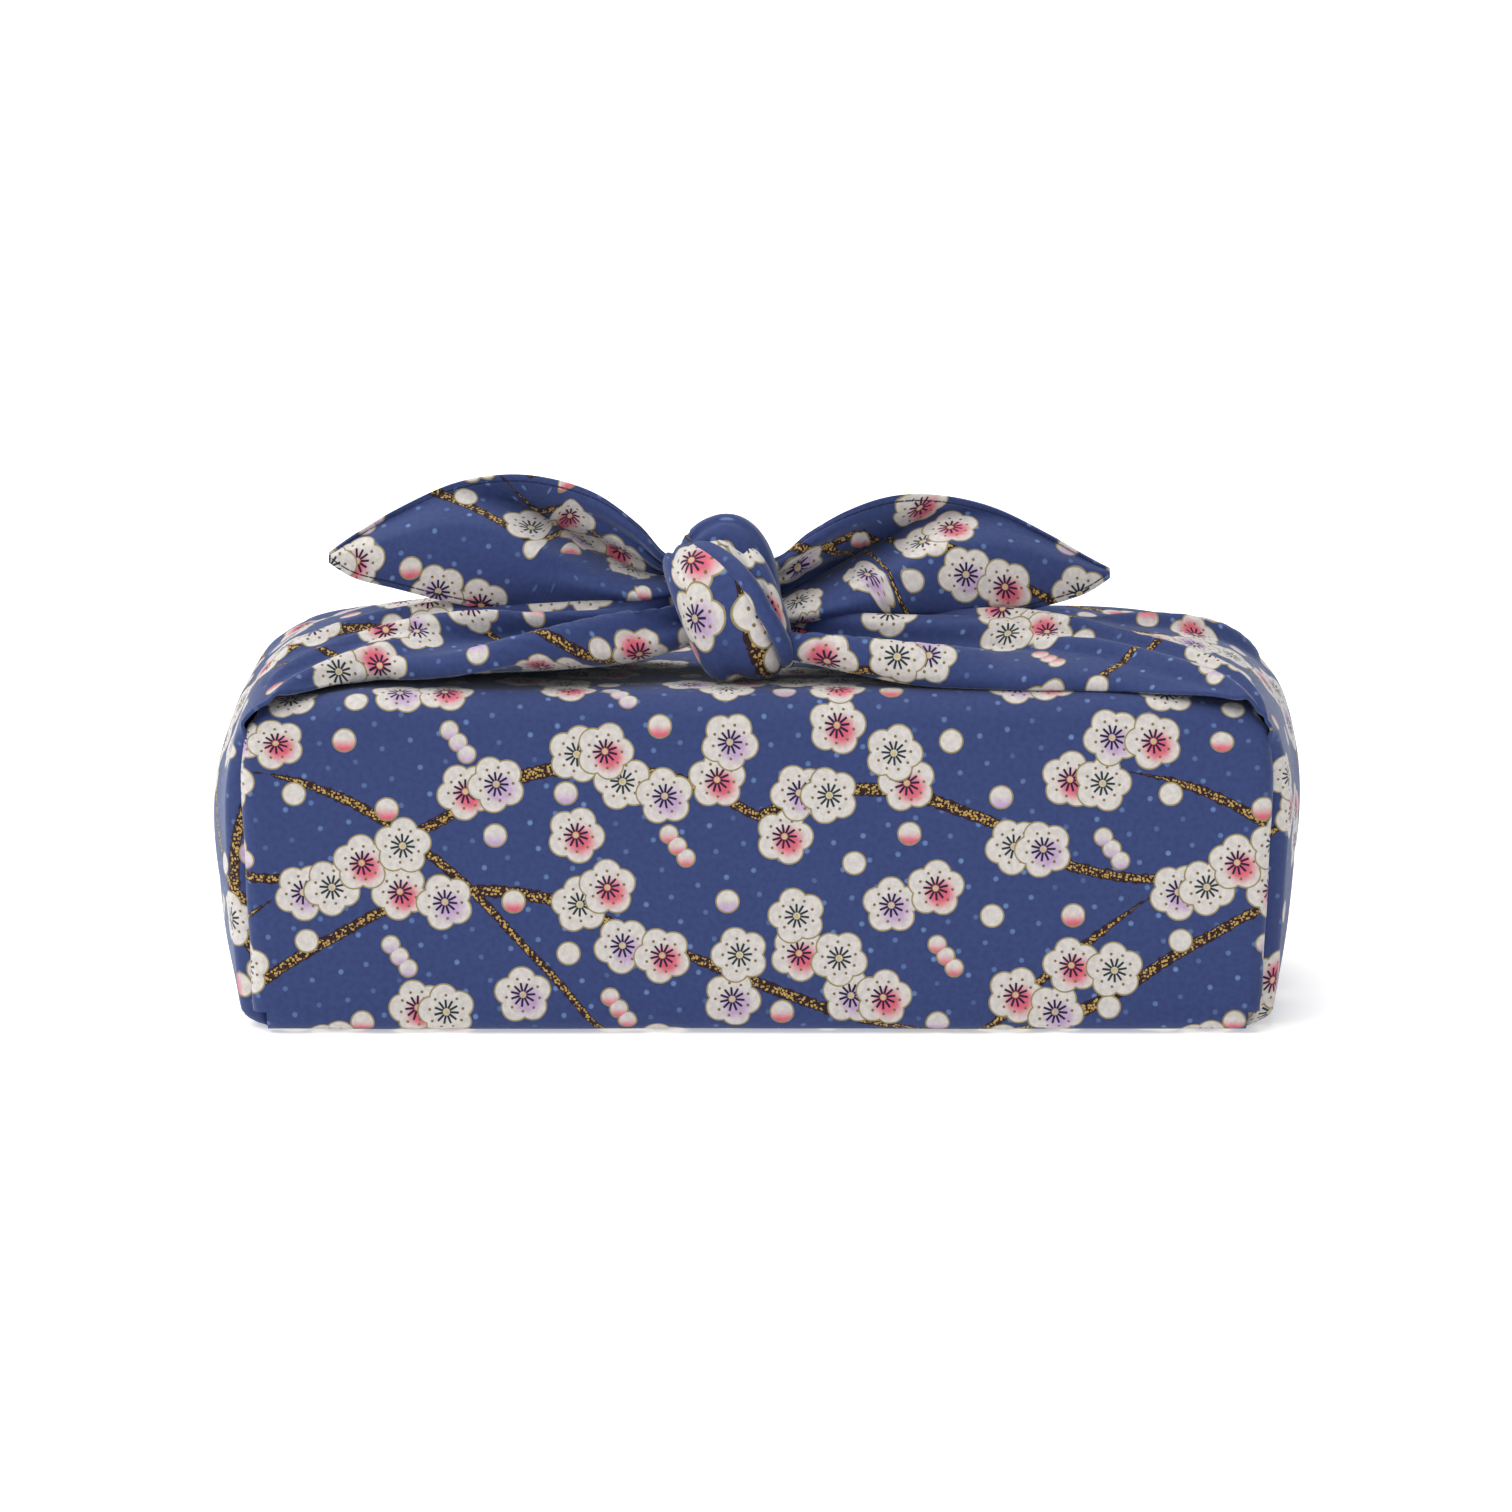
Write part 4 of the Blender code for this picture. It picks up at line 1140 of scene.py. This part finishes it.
# The knot: a square knot of the two arms. One turn comes down over the front as a full band with a
# narrow folded strip along its upper edge, and the other shows as a hump behind it.
Turn = namedtuple("Turn", "x y z half_width half_thickness facing")
FRONT_BAND = (
    Turn(-0.0105, -0.0110, 0.0850, 0.0070, 0.0030, 80.0),
    Turn(-0.0095, -0.0190, 0.0860, 0.0085, 0.0042, 60.0),
    Turn(-0.0072, -0.0260, 0.0835, 0.0095, 0.0052, 35.0),
    Turn(-0.0045, -0.0292, 0.0775, 0.0096, 0.0056, 10.0),
    Turn(-0.0022, -0.0290, 0.0715, 0.0092, 0.0054, -5.0),
    Turn(-0.0005, -0.0265, 0.0680, 0.0080, 0.0036, -35.0),
    Turn(0.0005, -0.0200, 0.0668, 0.0060, 0.0024, -70.0),
)
TURN_STEPS = 56
TURN_ROUND = 64
TURN_SQUARE = 0.85
END_BLUNT = 12
LOOK_AHEAD = 0.05
CREASE_FADE = 0.6
MERGE_WITHIN = 0.00001

# Creases along a turn: the place round it, in degrees, where it starts and ends, from 0 to 1 along
# the turn, its depth, and its half width in degrees. A depth below 0 is a raised ridge.
Crease = namedtuple("Crease", "place_first place_last first last depth half_width")
FRONT_BAND_CREASES = (
    Crease(58.0, 44.0, 0.15, 1.05, 0.0024, 11.0),
    Crease(80.0, 70.0, 0.05, 0.75, -0.0006, 10.0),
    Crease(118.0, 100.0, 0.35, 1.10, 0.0010, 10.0),
    Crease(140.0, 132.0, -0.10, 0.60, 0.0012, 8.0),
)


def build_turn(name, rows, creases, print_shift):
    """A turn of the knot: a soft closed roll of cloth along a short path, wider than it is thick."""
    bm = bmesh.new()
    bmesh.ops.create_grid(bm, x_segments=TURN_STEPS, y_segments=TURN_ROUND, size=1.0)
    last = len(rows) - 1
    spots = [Vector(smooth_row(rows, step / TURN_STEPS * last)[:3]) for step in range(TURN_STEPS + 1)]
    reach = path_lengths(spots)
    widest = max(row.half_width for row in rows)
    thickest = max(row.half_thickness for row in rows)
    half_round = math.pi * math.sqrt((widest ** 2 + thickest ** 2) / 2)
    places = {}
    for vertex in bm.verts:
        step = round((vertex.co.x + 1) / 2 * TURN_STEPS)
        position = step / TURN_STEPS * last
        angle = math.pi * (vertex.co.y + 0.5)
        here = smooth_row(rows, position)
        ahead = Vector(smooth_row(rows, position + LOOK_AHEAD)[:3])
        ahead -= Vector(smooth_row(rows, position - LOOK_AHEAD)[:3])
        ahead.normalize()
        facing = math.radians(here.facing)
        face = Vector((0.0, -math.cos(facing), math.sin(facing)))
        wide = ahead.cross(face).normalized()
        wide = wide if wide.x + wide.z > 0 else -wide
        out = wide.cross(ahead).normalized()
        out = out if out.dot(face) > 0 else -out
        along = step / TURN_STEPS
        close = math.sqrt(max(1 - (2 * along - 1) ** END_BLUNT, 0.0))
        spread = math.copysign(abs(math.cos(angle)) ** TURN_SQUARE, math.cos(angle))
        rise = math.copysign(abs(math.sin(angle)) ** TURN_SQUARE, math.sin(angle))
        crease_in = 0.0
        for crease in creases:
            run = (along - crease.first) / (crease.last - crease.first)
            if 0.0 < run < 1.0:
                place = crease.place_first + (crease.place_last - crease.place_first) * run
                off = (math.degrees(angle) - place) / crease.half_width
                crease_in += crease.depth * math.sin(math.pi * run) ** CREASE_FADE * math.exp(-off * off)
        half_thickness = here.half_thickness * rise - crease_in
        vertex.co = Vector(here[:3]) + (wide * here.half_width * spread + out * half_thickness) * close
        places[vertex] = (reach[step] + print_shift[0], angle / math.pi * half_round + print_shift[1])
    lay_flat_cloth(bm, places)
    bmesh.ops.remove_doubles(bm, verts=bm.verts, dist=MERGE_WITHIN)
    turn = cloth_object(name, bm)
    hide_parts("furoshiki_cloth")
    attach(turn, "root")
    return turn


HUMP = (
    Turn(-0.0110, -0.0150, 0.0770, 0.0046, 0.0060, 10.0),
    Turn(-0.0105, -0.0150, 0.0830, 0.0048, 0.0065, 20.0),
    Turn(-0.0088, -0.0155, 0.0872, 0.0056, 0.0070, 25.0),
    Turn(-0.0052, -0.0160, 0.0886, 0.0056, 0.0075, 25.0),
    Turn(-0.0022, -0.0170, 0.0860, 0.0052, 0.0080, 20.0),
    Turn(-0.0004, -0.0180, 0.0808, 0.0048, 0.0080, 15.0),
    Turn(0.0004, -0.0185, 0.0740, 0.0044, 0.0070, 10.0),
)
HUMP_CREASES = (
    Crease(70.0, 60.0, 0.05, 0.80, 0.0009, 10.0),
    Crease(115.0, 120.0, 0.20, 1.00, 0.0008, 9.0),
    Crease(20.0, 30.0, 0.10, 0.45, 0.0012, 8.0),
)
FOLDED_STRIP = (
    Turn(-0.0128, -0.0175, 0.0872, 0.0012, 0.0012, 50.0),
    Turn(-0.0106, -0.0215, 0.0885, 0.0016, 0.0018, 40.0),
    Turn(-0.0078, -0.0257, 0.0880, 0.0018, 0.0021, 35.0),
    Turn(-0.0043, -0.0299, 0.0862, 0.0017, 0.0023, 25.0),
    Turn(-0.0012, -0.0327, 0.0830, 0.0017, 0.0024, 15.0),
    Turn(0.0014, -0.0338, 0.0788, 0.0017, 0.0024, 5.0),
    Turn(0.0036, -0.0334, 0.0748, 0.0017, 0.0024, 0.0),
    Turn(0.0052, -0.0312, 0.0710, 0.0016, 0.0022, -10.0),
    Turn(0.0054, -0.0268, 0.0682, 0.0013, 0.0014, -30.0),
    Turn(0.0046, -0.0215, 0.0676, 0.0010, 0.0010, -60.0),
)
front_band = build_turn("knot_front_band", FRONT_BAND, FRONT_BAND_CREASES, (0.062, 0.020))
hump = build_turn("knot_hump", HUMP, HUMP_CREASES, (0.070, 0.010))
folded_strip = build_turn("knot_folded_strip", FOLDED_STRIP, (), (0.025, 0.099))
knot_cotton = printed_cotton("printed_cotton_knot", (0.0, 0.0))
for turn in (front_band, hump, folded_strip):
    turn.data.materials.append(knot_cotton)
